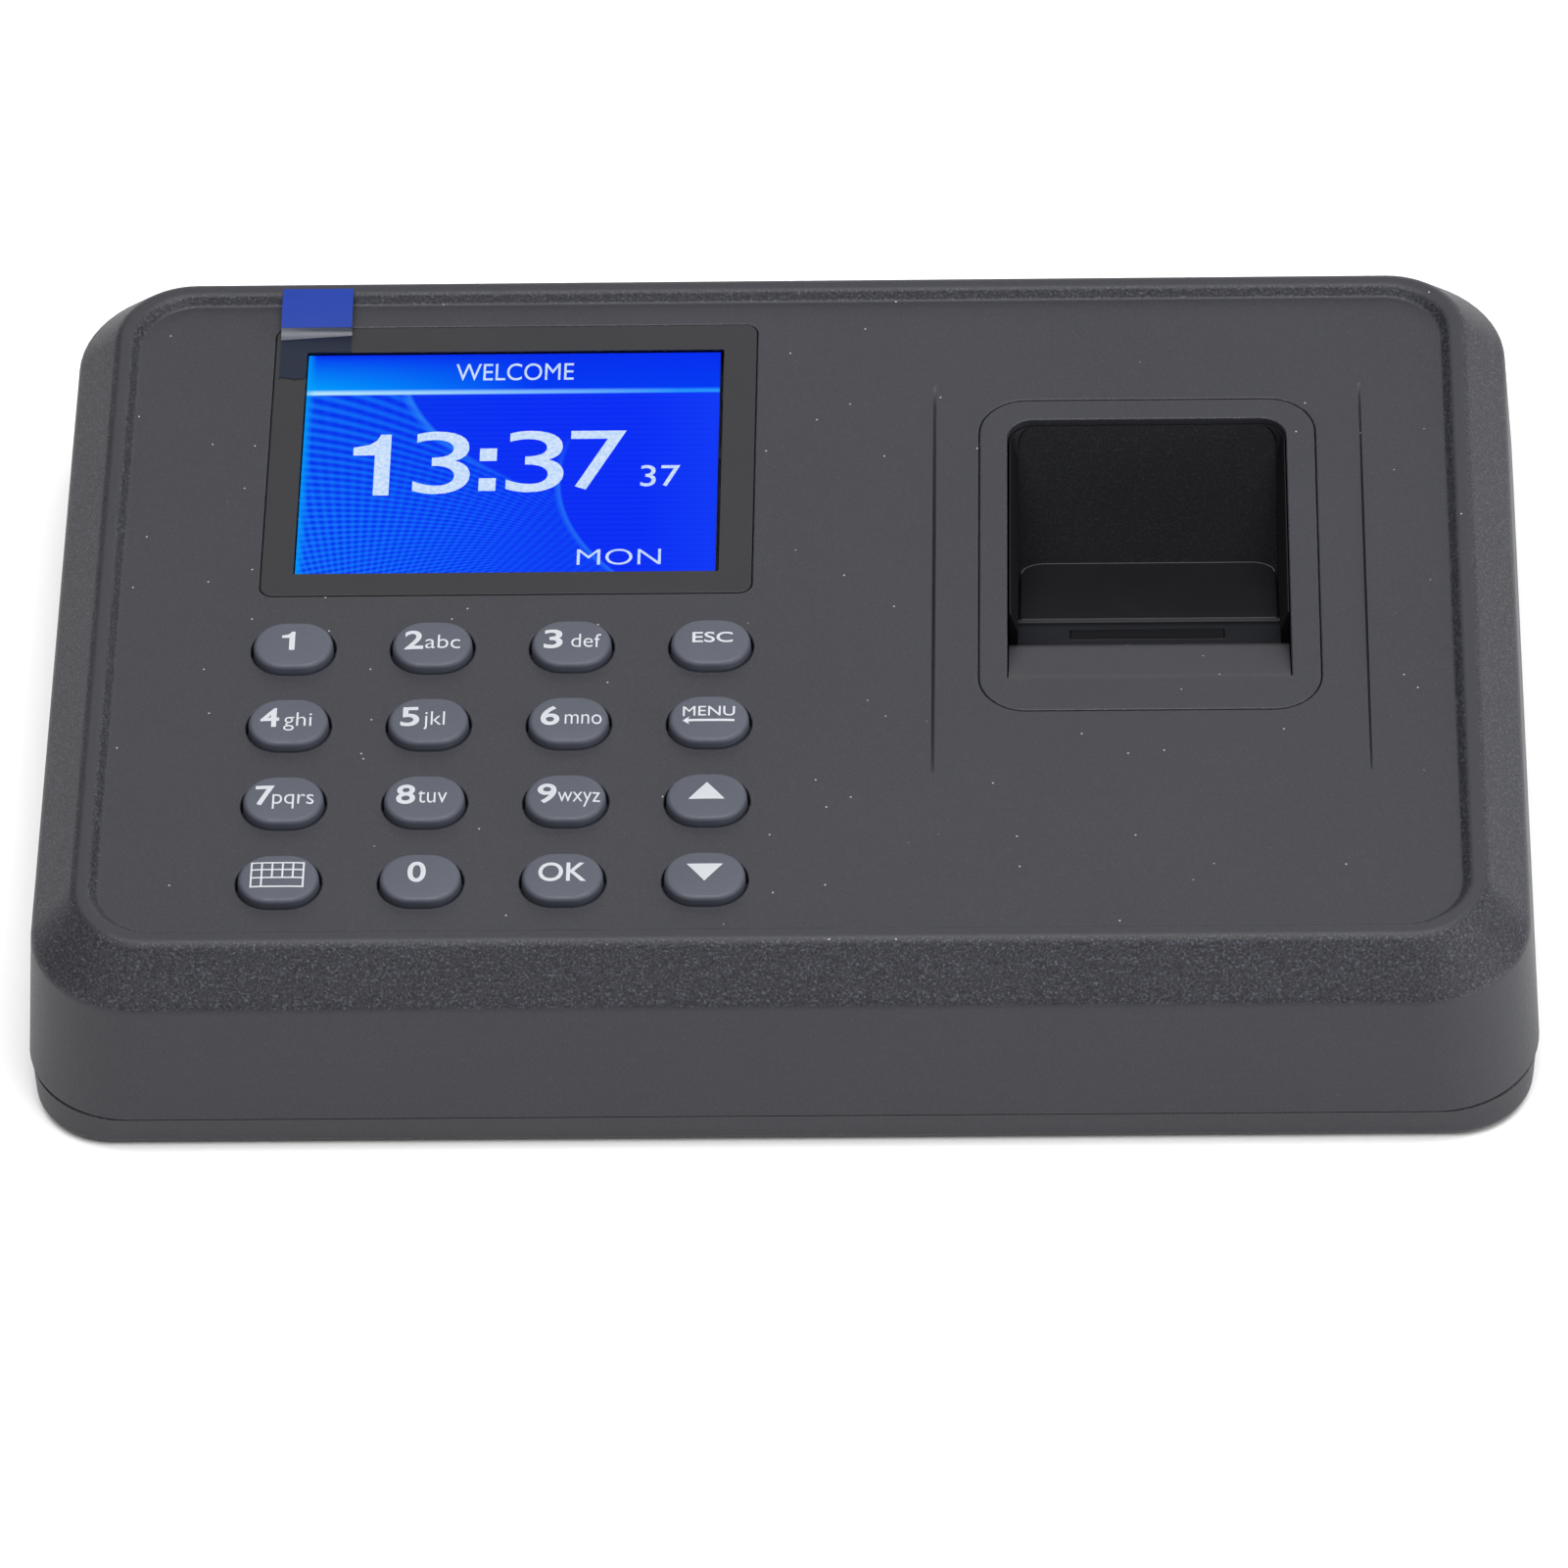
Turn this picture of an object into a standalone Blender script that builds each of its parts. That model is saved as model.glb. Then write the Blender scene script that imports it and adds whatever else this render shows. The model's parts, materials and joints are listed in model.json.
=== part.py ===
"""Fingerprint scanner terminal: two-part casing, display, sixteen keys, finger well and the parts inside.

Sizes are in millimetres and become metres where a mesh is made. X runs to the right along the long side,
Y towards the back edge, Z out of the front face. Heights are measured from the rear cover's flat base,
which an empty holds above the ground by the height of the rubber feet.
"""
import math

import bmesh
import bpy
from mathutils import Matrix, Vector

MM = 0.001
GAP = 0.3              # space between pieces that rest on each other
FINE_GAP = 0.2         # visible joint line between flush pieces
CORNER_STEPS = 6       # straight pieces in a quarter of a large round corner
FOOT_PROUD = 0.6

# Casing: half width, half depth, corner radius and height of each level
PARTING_Z = 4.55
PANEL_Z = 26.01
CEILING_Z = 24.2
RIM_Z = 27.13
PARTING_LEVEL = (86.07, 60.16, 12.2, PARTING_Z)
SIDE_TOP_LEVEL = (84.84, 58.93, 13.0, 21.0)
CHAMFER_FOOT_LEVEL = (84.55, 58.64, 12.9, 21.6)
CHAMFER_HEAD_LEVEL = (80.0, 54.1, 9.2, 26.75)
RIM_OUTER_LEVEL = (79.4, 53.5, 8.7, RIM_Z)
RIM_INNER_LEVEL = (78.3, 52.4, 7.7, RIM_Z)
RIM_EDGE_LEVEL = (77.9, 52.0, 7.5, 26.95)
PANEL_LEVEL = (77.1, 51.18, 7.0, PANEL_Z)
INNER_FOOT_LEVEL = (84.05, 58.15, 10.2, PARTING_Z)
INNER_SIDE_LEVEL = (82.9, 57.0, 11.0, 20.2)
INNER_CEILING_LEVEL = (79.6, 53.8, 8.8, CEILING_Z)

# Rear cover
COVER_TOP_Z = 4.3
COVER_FLOOR_Z = 2.0
COVER_BASE_LEVEL = (84.9, 58.95, 8.7, 0.0)
COVER_ROUND_LEVEL = (85.4, 59.45, 9.2, 0.5)
COVER_TOP_LEVEL = (85.75, 59.85, 11.0, COVER_TOP_Z)
TONGUE_FOOT_LEVEL = (83.65, 57.75, 9.8, COVER_TOP_Z)
TONGUE_TOP_LEVEL = (83.5, 57.6, 9.6, 6.6)
COVER_INNER_TOP_LEVEL = (82.0, 56.1, 8.2, 6.6)
COVER_INNER_FLOOR_LEVEL = (82.0, 56.1, 8.2, COVER_FLOOR_Z)

# Casing screws
CASING_SCREWS = ((-75.0, 49.0), (75.0, 49.0), (-75.0, -49.0), (75.0, -49.0), (15.0, 49.5), (15.0, -49.5))
BOSS_RADIUS = 3.6
PILOT_RADIUS = 1.55
PILOT_TOP_Z = 15.5
PILLAR_RADIUS = 4.2
PILLAR_TOP_Z = 6.2
SCREW_SEAT_Z = 2.4
COUNTERBORE_RADIUS = 3.25
CLEARANCE_RADIUS = 1.75
SCREW_HEAD_RADIUS = 2.8
SCREW_HEAD_LOW_Z = 0.35
SCREW_HEAD_HIGH_Z = 2.1
SCREW_SHANK_RADIUS = 1.35
SCREW_TIP_Z = 14.0

# Feet, speaker grille and wall keyholes of the rear cover
FEET = ((-66.0, 44.0), (66.0, 44.0), (-66.0, -44.0), (66.0, -44.0))
FOOT_RADIUS = 5.0
FOOT_POCKET_RADIUS = 5.3
FOOT_POCKET_DEPTH = 1.1
FOOT_TOP_Z = 0.8
KEYHOLE_SPACING = 130.0
KEYHOLE_Y = 18.0
KEYHOLE_HEAD_RADIUS = 4.2
KEYHOLE_SLOT_HALF_WIDTH = 2.1
KEYHOLE_SLOT_LENGTH = 9.0
KEYHOLE_POCKET_RADIUS = 4.6
KEYHOLE_POCKET_WALL = 1.2
KEYHOLE_POCKET_TOP_Z = 6.5
SPEAKER_CENTRE = (42.2, -36.0)
GRILLE_PITCH = 4.2
GRILLE_HOLE_RADIUS = 0.95
GRILLE_RINGS = 2

# Display
WINDOW_CENTRE = (-32.4, 24.8)
WINDOW_HALF = (28.52, 22.45)
WINDOW_RADIUS = 1.5
WINDOW_LOW_Z = 25.05
REBATE_Z = 24.75
VIEW_CENTRE = (-32.6, 26.0)
VIEW_HALF = (25.6, 19.4)
LCD_CENTRE = (-32.7, 25.0)
LCD_HALF = (29.5, 20.9)
LCD_TOP_Z = 23.9
LCD_LOW_Z = 23.0
FRAME_HALF = (30.1, 21.4)
FRAME_TOP_Z = 22.7
FRAME_LOW_Z = 20.9

# Keypad
KEY_NAMES = (("1", "2", "3", "esc"), ("4", "5", "6", "menu"), ("7", "8", "9", "up"), ("input", "0", "ok", "down"))
KEY_FIRST = (-56.55, -6.55)
KEY_PITCH = (16.07, 12.36)
KEY_HALF = (4.6, 3.68)
KEY_EDGE_RISE = 1.0
KEY_CROWN = 0.15
KEY_DRAFT = 0.12
KEY_HOLE_GAP = 0.2
KEY_FLANGE_MARGIN = 0.9
KEY_FLANGE_TOP_Z = 23.9
KEY_FLANGE_LOW_Z = 22.9
KEY_PLUNGER_HALF = (2.2, 1.8)
KEY_PLUNGER_Z = 22.3
KEY_STEPS = 4
MEMBRANE_LOW_Z = 20.3
MEMBRANE_TOP_Z = 21.0
MEMBRANE_MARGIN = (7.0, 6.2)
DOME_TOP_Z = 21.4
DOME_RADII = (3.4, 2.4)

# Main board and what it carries
BOARD_CENTRE = (-30.75, -1.0)
BOARD_HALF = (40.25, 51.0)
BOARD_LOW_Z = 18.4
BOARD_TOP_Z = 20.0
BOARD_SCREW_OFFSET = (36.5, 47.5)
BOARD_BOSS_RADIUS = 2.6
SMALL_PILOT_RADIUS = 1.15
SMALL_SHANK_RADIUS = 0.9
SMALL_HEAD_RADIUS = 2.0
SMALL_HEAD_HEIGHT = 1.2
CHIP_TOP_Z = BOARD_LOW_Z - GAP
CELL_CENTRE = (-50.0, -22.0)
CELL_RADIUS = 10.0
CELL_HEIGHT = 3.2
USB_X = -46.0
USB_Z = 15.2
USB_HALF = (6.55, 2.85)
USB_BACK_Y = 45.0
USB_MOUTH_Y = 59.0
USB_WALL = 0.4
JACK_X = -14.0
JACK_Z = 12.6
JACK_HALF = (4.5, 5.2)
JACK_BACK_Y = 43.6
JACK_FACE_Y = 58.7
JACK_BORE_RADIUS = 3.2
JACK_BORE_DEPTH = 9.5
SOCKET_CUT_Y = (55.0, 62.0)
JACK_PIN_RADIUS = 1.0

# Scanner: the shallow scoop, the bezel, the ramp and the black well
SCOOP_X = (17.1, 67.35)
SCOOP_Y = (-27.0, 36.5)
SCOOP_DEPTH = 0.5
SCOOP_STEPS = 10
BEZEL_CENTRE = (42.2, 8.43)
BEZEL_HALF = (19.65, 25.47)
BEZEL_RADIUS = 5.5
BEZEL_FLANGE_MARGIN = 1.6
BEZEL_FLANGE_TOP_Z = 23.9
BEZEL_LOW_Z = 22.3
MOUTH_X = (25.8, 58.5)
MOUTH_Y = (-11.6, 30.7)
MOUTH_RADIUS = 3.0
RAMP_SIDE_GAP = 0.15
RAMP_END = (-1.0, 20.8)
RAMP_THICKNESS = 1.6
WELL_X = (26.0, 58.3)
WELL_WALL = 0.95
WELL_TOP_Z = 25.1
WELL_LOW_Z = 11.0
WELL_BACK_Y = 30.5
TRENCH_FRONT_Y = -0.9
TRENCH_Z = 15.0
PLATFORM_FRONT_Y = 3.2
GLASS_NEAR = (3.6, 19.7)
GLASS_FAR = (19.3, 13.5)
GLASS_THICKNESS = 1.0
GLASS_SIDE_GAP = 0.2
GLASS_RADIUS = 3.0
BACK_FOOT = (20.1, 12.2)
DETECT_X = (33.1, 50.9)
DETECT_Z = (16.95, 18.35)
APERTURE_HALF_X = 9.5
APERTURE_Y = (6.5, 16.5)
EAR_Y = 18.0
EAR_HALF_Y = 3.4
EAR_Z = (17.0, 18.8)
EAR_BOSS_X = (18.2, 66.2)
EAR_BOSS_RADIUS = 2.4
SENSOR_BOARD_Z = (5.0, 6.2)
SENSOR_BOARD_HALF = (15.0, 12.0)
SENSOR_BOARD_CENTRE = (42.15, 11.5)
CAMERA_CENTRE = (42.15, 11.5)

# Protective film tab on the display window
TAB_X = (-60.4, -52.0)
TAB_PATH = ((38.5, 26.25), (46.4, 26.25), (48.0, 26.75), (50.6, 27.4), (53.0, 27.5))
TAB_THICKNESS = 0.15

MATERIALS = {
    "graphite_plastic": ((0.085, 0.087, 0.098), 0.55, 0.0),
    "rear_plastic": ((0.083, 0.082, 0.095), 0.6, 0.0),
    "key_plastic": ((0.13, 0.145, 0.175), 0.5, 0.0),
    "black_plastic": ((0.012, 0.012, 0.015), 0.45, 0.0),
    "window_acrylic": ((0.06, 0.06, 0.068), 0.12, 0.0),
    "film_blue": ((0.03, 0.08, 0.42), 0.3, 0.0),
    "lcd_glass": ((0.01, 0.06, 0.75), 0.15, 0.0),
    "sensor_glass": ((0.015, 0.016, 0.02), 0.08, 0.0),
    "detect_window": ((0.04, 0.04, 0.045), 0.3, 0.0),
    "prism_glass": ((0.6, 0.65, 0.68), 0.05, 0.0),
    "silicone": ((0.18, 0.19, 0.21), 0.7, 0.0),
    "board_green": ((0.015, 0.13, 0.05), 0.4, 0.0),
    "chip_black": ((0.012, 0.012, 0.012), 0.5, 0.0),
    "connector_metal": ((0.62, 0.62, 0.6), 0.3, 1.0),
    "cell_steel": ((0.68, 0.68, 0.68), 0.25, 1.0),
    "socket_plastic": ((0.75, 0.73, 0.68), 0.5, 0.0),
    "flex_film": ((0.62, 0.4, 0.12), 0.4, 0.0),
    "speaker_cone": ((0.025, 0.025, 0.028), 0.7, 0.0),
    "screw_steel": ((0.12, 0.12, 0.125), 0.35, 1.0),
    "foot_rubber": ((0.015, 0.015, 0.016), 0.9, 0.0),
}


def clear_scene():
    """Removes every object that the opened file holds."""
    for item in list(bpy.data.objects):
        bpy.data.objects.remove(item, do_unlink=True)


def make_materials():
    """One Principled material per finish."""
    made = {}
    for name, (colour, roughness, metallic) in MATERIALS.items():
        material = bpy.data.materials.new(name)
        material.use_nodes = True
        shader = material.node_tree.nodes["Principled BSDF"]
        shader.inputs["Base Color"].default_value = (*colour, 1.0)
        shader.inputs["Roughness"].default_value = roughness
        shader.inputs["Metallic"].default_value = metallic
        made[name] = material
    return made


def new_collection(name):
    """A collection linked to the scene."""
    collection = bpy.data.collections.new(name)
    bpy.context.scene.collection.children.link(collection)
    return collection


clear_scene()
FINISHES = make_materials()
PARTS = new_collection("fingerprint_terminal")
CUTTERS = new_collection("cutters")
ORIGIN = bpy.data.objects.new("casing_origin", None)
ORIGIN.location = (0.0, 0.0, FOOT_PROUD * MM)
PARTS.objects.link(ORIGIN)


def add_part(name, mesh, finish, at=(0.0, 0.0, 0.0)):
    """A named piece of the terminal, its origin at the given place."""
    part = bpy.data.objects.new(name, mesh)
    part.location = Vector(at) * MM
    part.parent = ORIGIN
    mesh.materials.append(FINISHES[finish])
    PARTS.objects.link(part)
    return part


def add_cutter(name, mesh, at=(0.0, 0.0, 0.0)):
    """A shape that is only cut away from a part or joined to one."""
    cutter = bpy.data.objects.new(name, mesh)
    cutter.location = Vector(at) * MM
    cutter.parent = ORIGIN
    cutter.hide_render = True
    cutter.display_type = "WIRE"
    CUTTERS.objects.link(cutter)
    return cutter


def combine(part, operation, name, meshes):
    """Cuts away, joins on or keeps several separate shapes with one Boolean, and returns their joined cutter."""
    joined = bmesh.new()
    for mesh in meshes:
        joined.from_mesh(mesh)
    together = bpy.data.meshes.new(name)
    joined.to_mesh(together)
    joined.free()
    boolean = part.modifiers.new(name, "BOOLEAN")
    boolean.operation = operation
    boolean.object = add_cutter(name, together)
    return boolean.object


def shade_round(part, angle=35.0):
    """Smooth shading with sharp edges where the surface turns by more than the angle."""
    part.data.shade_smooth()
    part.data.set_sharp_from_angle(angle=math.radians(angle))


def rounded_rectangle(half_x, half_y, radius, centre=(0.0, 0.0), steps=CORNER_STEPS):
    """Anticlockwise outline with round corners, one radius or four from right-back round to right-front."""
    radii = radius if isinstance(radius, tuple) else (radius,) * 4
    points = []
    for corner, (sign_x, sign_y) in enumerate(((1, 1), (-1, 1), (-1, -1), (1, -1))):
        r = radii[corner]
        for step in range(steps + 1):
            angle = math.radians(90.0 * (corner + step / steps))
            x = centre[0] + sign_x * (half_x - r) + r * math.cos(angle)
            y = centre[1] + sign_y * (half_y - r) + r * math.sin(angle)
            points.append((x, y))
    return points


def circle(radius, centre=(0.0, 0.0), steps=24):
    """Anticlockwise round outline."""
    angles = [math.tau * step / steps for step in range(steps)]
    return [(centre[0] + radius * math.cos(a), centre[1] + radius * math.sin(a)) for a in angles]


def loft(name, sections):
    """A closed solid skinned through outlines of equal point counts, each at its own height."""
    shape = bmesh.new()
    rings = [[shape.verts.new((x * MM, y * MM, z * MM)) for x, y in outline] for outline, z in sections]
    for lower, upper in zip(rings, rings[1:]):
        for here in range(len(lower)):
            following = (here + 1) % len(lower)
            shape.faces.new((lower[here], lower[following], upper[following], upper[here]))
    shape.faces.new(rings[-1])
    shape.faces.new(list(reversed(rings[0])))
    mesh = bpy.data.meshes.new(name)
    shape.to_mesh(mesh)
    shape.free()
    return mesh


def casing_loft(name, levels):
    """A loft through the casing's centred rounded rectangles."""
    return loft(name, [(rounded_rectangle(hx, hy, r), z) for hx, hy, r, z in levels])


def prism(name, outlines, low, high, along="Z"):
    """Flat outlines given thickness along Z, or along X for outlines given as (y, z). Inner outlines are holes."""
    curve = bpy.data.curves.new(name, "CURVE")
    curve.dimensions = "2D"
    curve.fill_mode = "BOTH"
    curve.extrude = (high - low) / 2 * MM
    for outline in outlines:
        spline = curve.splines.new("POLY")
        spline.points.add(len(outline) - 1)
        for point, (u, v) in zip(spline.points, outline):
            point.co = (u * MM, v * MM, 0.0, 1.0)
        spline.use_cyclic_u = True
    guide = bpy.data.objects.new(name, curve)
    CUTTERS.objects.link(guide)
    bpy.context.view_layer.update()
    mesh = bpy.data.meshes.new_from_object(guide.evaluated_get(bpy.context.evaluated_depsgraph_get()))
    bpy.data.objects.remove(guide, do_unlink=True)
    bpy.data.curves.remove(curve)
    mesh.name = name
    middle = (low + high) / 2 * MM
    if along == "X":
        mesh.transform(Matrix(((0, 0, 1, middle), (1, 0, 0, 0), (0, 1, 0, 0), (0, 0, 0, 1))))
    else:
        mesh.transform(Matrix.Translation((0.0, 0.0, middle)))
    shape = bmesh.new()
    shape.from_mesh(mesh)
    bmesh.ops.remove_doubles(shape, verts=shape.verts, dist=1e-6)
    bmesh.ops.recalc_face_normals(shape, faces=shape.faces)
    shape.to_mesh(mesh)
    shape.free()
    return mesh


def box(name, x, y, z):
    """A rectangular block between two values on each axis."""
    shape = bmesh.new()
    size = [(pair[1] - pair[0]) * MM for pair in (x, y, z)]
    middle = [(pair[0] + pair[1]) / 2 * MM for pair in (x, y, z)]
    bmesh.ops.create_cube(shape, size=1.0, matrix=Matrix.LocRotScale(middle, None, size))
    mesh = bpy.data.meshes.new(name)
    shape.to_mesh(mesh)
    shape.free()
    return mesh


def cylinder(name, radius, low, high, centre=(0.0, 0.0), steps=20, top_radius=None):
    """An upright cylinder, or a cone frustum when the top radius differs."""
    shape = bmesh.new()
    place = Matrix.Translation(Vector((centre[0], centre[1], (low + high) / 2)) * MM)
    bmesh.ops.create_cone(shape, cap_ends=True, segments=steps, radius1=radius * MM,
                          radius2=(radius if top_radius is None else top_radius) * MM,
                          depth=(high - low) * MM, matrix=place)
    mesh = bpy.data.meshes.new(name)
    shape.to_mesh(mesh)
    shape.free()
    return mesh


def lying_cylinder(name, radius, front, back, x, z, steps=24):
    """A cylinder whose axis runs along Y."""
    mesh = cylinder(name, radius, -(back - front) / 2, (back - front) / 2, steps=steps)
    place = Matrix.Translation(Vector((x, (front + back) / 2, z)) * MM)
    mesh.transform(place @ Matrix.Rotation(math.radians(90.0), 4, "X"))
    return mesh


def turned(name, profile, finish, at, steps=20):
    """A piece turned about the vertical axis through its origin, from a profile listed from top to bottom."""
    mesh = bpy.data.meshes.new(name)
    points = [(radius * MM, 0.0, z * MM) for radius, z in profile]
    mesh.from_pydata(points, [(i, i + 1) for i in range(len(points) - 1)], [])
    part = add_part(name, mesh, finish, at)
    screw = part.modifiers.new("turn", "SCREW")
    screw.axis = "Z"
    screw.steps = steps
    screw.render_steps = steps
    screw.use_merge_vertices = True
    screw.merge_threshold = 1e-6
    screw.use_smooth_shade = True
    return part


def scoop_height(y):
    """Height of the shallow scoop's surface at a place along Y: an arc that meets the panel at both ends."""
    middle = (SCOOP_Y[0] + SCOOP_Y[1]) / 2
    half = (SCOOP_Y[1] - SCOOP_Y[0]) / 2
    radius = (half ** 2 + SCOOP_DEPTH ** 2) / (2 * SCOOP_DEPTH)
    return PANEL_Z + radius - SCOOP_DEPTH - math.sqrt(radius ** 2 - (y - middle) ** 2)


def scoop_cutter(name):
    """The space above the scoop's curved surface."""
    step = (SCOOP_Y[1] - SCOOP_Y[0]) / SCOOP_STEPS
    arc = [SCOOP_Y[0] + step * i for i in range(SCOOP_STEPS + 1)]
    outline = [(y, scoop_height(y)) for y in arc] + [(SCOOP_Y[1], RIM_Z + 1.0), (SCOOP_Y[0], RIM_Z + 1.0)]
    return prism(name, [outline], *SCOOP_X, along="X")


def key_places():
    """Name and centre of every key, row by row from the back."""
    for row, names in enumerate(KEY_NAMES):
        for column, name in enumerate(names):
            yield name, (KEY_FIRST[0] + column * KEY_PITCH[0], KEY_FIRST[1] - row * KEY_PITCH[1])


def key_outline(margin, centre=(0.0, 0.0)):
    """The keys' outline, a short stadium, grown by a margin."""
    half_x, half_y = KEY_HALF[0] + margin, KEY_HALF[1] + margin
    return rounded_rectangle(half_x, half_y, half_y - 0.05, centre, KEY_STEPS)


def board_screw_places():
    """Centres of the four screws that hold the main board."""
    for sign_x in (-1, 1):
        for sign_y in (-1, 1):
            yield (BOARD_CENTRE[0] + sign_x * BOARD_SCREW_OFFSET[0],
                   BOARD_CENTRE[1] + sign_y * BOARD_SCREW_OFFSET[1])


def mouth_outline():
    """The opening of the finger well seen from above, round only at its back corners."""
    centre = (sum(MOUTH_X) / 2, sum(MOUTH_Y) / 2)
    half_x, half_y = (MOUTH_X[1] - MOUTH_X[0]) / 2, (MOUTH_Y[1] - MOUTH_Y[0]) / 2
    return rounded_rectangle(half_x, half_y, (MOUTH_RADIUS, MOUTH_RADIUS, 0.2, 0.2), centre, 5)


def make_front_housing():
    """The front shell with its recessed panel, chamfer, openings and screw bosses."""
    levels = (INNER_CEILING_LEVEL, INNER_SIDE_LEVEL, INNER_FOOT_LEVEL, PARTING_LEVEL, SIDE_TOP_LEVEL,
              CHAMFER_FOOT_LEVEL, CHAMFER_HEAD_LEVEL, RIM_OUTER_LEVEL, RIM_INNER_LEVEL, RIM_EDGE_LEVEL,
              PANEL_LEVEL)
    housing = add_part("front_housing", casing_loft("front_housing", levels), "graphite_plastic")
    sunk = CEILING_Z + 0.6
    bosses = [cylinder("boss", BOSS_RADIUS, PILLAR_TOP_Z + GAP, sunk, at, 14) for at in CASING_SCREWS]
    bosses += [cylinder("boss", BOARD_BOSS_RADIUS, BOARD_TOP_Z + GAP, sunk, at, 10) for at in board_screw_places()]
    bosses += [cylinder("boss", EAR_BOSS_RADIUS, EAR_Z[1] + GAP, sunk, (x, EAR_Y), 10) for x in EAR_BOSS_X]
    combine(housing, "UNION", "bosses", bosses)

    above = RIM_Z + 1.0
    hole_half = (WINDOW_HALF[0] + FINE_GAP, WINDOW_HALF[1] + FINE_GAP)
    rebate = rounded_rectangle(*hole_half, WINDOW_RADIUS + FINE_GAP, WINDOW_CENTRE, 4)
    view = rounded_rectangle(*VIEW_HALF, 1.0, VIEW_CENTRE, 3)
    insert = rounded_rectangle(BEZEL_HALF[0] + FINE_GAP, BEZEL_HALF[1] + FINE_GAP, BEZEL_RADIUS + FINE_GAP,
                               BEZEL_CENTRE)
    pilots = [cylinder("pilot", PILOT_RADIUS, PILLAR_TOP_Z, PILOT_TOP_Z, at, 10) for at in CASING_SCREWS]
    pilots += [cylinder("pilot", SMALL_PILOT_RADIUS, BOARD_TOP_Z, CEILING_Z, at, 8) for at in board_screw_places()]
    pilots += [cylinder("pilot", SMALL_PILOT_RADIUS, EAR_Z[1], CEILING_Z, (x, EAR_Y), 8) for x in EAR_BOSS_X]
    combine(housing, "DIFFERENCE", "pilots", pilots)
    combine(housing, "DIFFERENCE", "scoop", [scoop_cutter("scoop")])
    combine(housing, "DIFFERENCE", "rebate", [prism("rebate", [rebate], REBATE_Z, above)])
    holes = [prism("view", [view], CEILING_Z - 1.0, above), prism("insert", [insert], CEILING_Z - 1.0, above)]
    holes += [prism("key_hole", [key_outline(KEY_DRAFT + KEY_HOLE_GAP, at)], CEILING_Z - 1.0, above)
              for _, at in key_places()]
    combine(housing, "DIFFERENCE", "front_openings", holes)
    usb_half = (USB_HALF[0] + GAP, USB_HALF[1] + GAP)
    jack_half = (JACK_HALF[0] + GAP, JACK_HALF[1] + GAP)
    sockets = [box("usb_cut", (USB_X - usb_half[0], USB_X + usb_half[0]), SOCKET_CUT_Y,
                   (USB_Z - usb_half[1], USB_Z + usb_half[1])),
               box("jack_cut", (JACK_X - jack_half[0], JACK_X + jack_half[0]), SOCKET_CUT_Y,
                   (JACK_Z - jack_half[1], JACK_Z + jack_half[1]))]
    combine(housing, "DIFFERENCE", "sockets", sockets)
    shade_round(housing)


def keyhole_outline(x):
    """A wall screw's keyhole: a round head entry with a slot running from it to a round end."""
    slot_end = KEYHOLE_Y + KEYHOLE_SLOT_LENGTH
    meet = math.asin(KEYHOLE_SLOT_HALF_WIDTH / KEYHOLE_HEAD_RADIUS)
    points = []
    for step in range(15):
        angle = math.pi / 2 + meet + (math.tau - 2 * meet) * step / 14
        points.append((x + KEYHOLE_HEAD_RADIUS * math.cos(angle), KEYHOLE_Y + KEYHOLE_HEAD_RADIUS * math.sin(angle)))
    for step in range(7):
        angle = math.pi * step / 6
        points.append((x + KEYHOLE_SLOT_HALF_WIDTH * math.cos(angle),
                       slot_end + KEYHOLE_SLOT_HALF_WIDTH * math.sin(angle)))
    return points


def keyhole_pocket_outline(x, radius):
    """A long round-ended outline over the whole keyhole, for the pocket that closes it off inside."""
    points = []
    for end, first in ((KEYHOLE_Y + KEYHOLE_SLOT_LENGTH, 0.0), (KEYHOLE_Y, math.pi)):
        for step in range(9):
            angle = first + math.pi * step / 8
            points.append((x + radius * math.cos(angle), end + radius * math.sin(angle)))
    return points


def grille_places():
    """Centres of the speaker grille's holes: a hexagon of rings about the middle."""
    for row in range(-GRILLE_RINGS, GRILLE_RINGS + 1):
        count = 2 * GRILLE_RINGS + 1 - abs(row)
        for column in range(count):
            x = SPEAKER_CENTRE[0] + (column - (count - 1) / 2) * GRILLE_PITCH
            yield (x, SPEAKER_CENTRE[1] + row * GRILLE_PITCH * math.sqrt(3) / 2)


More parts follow.
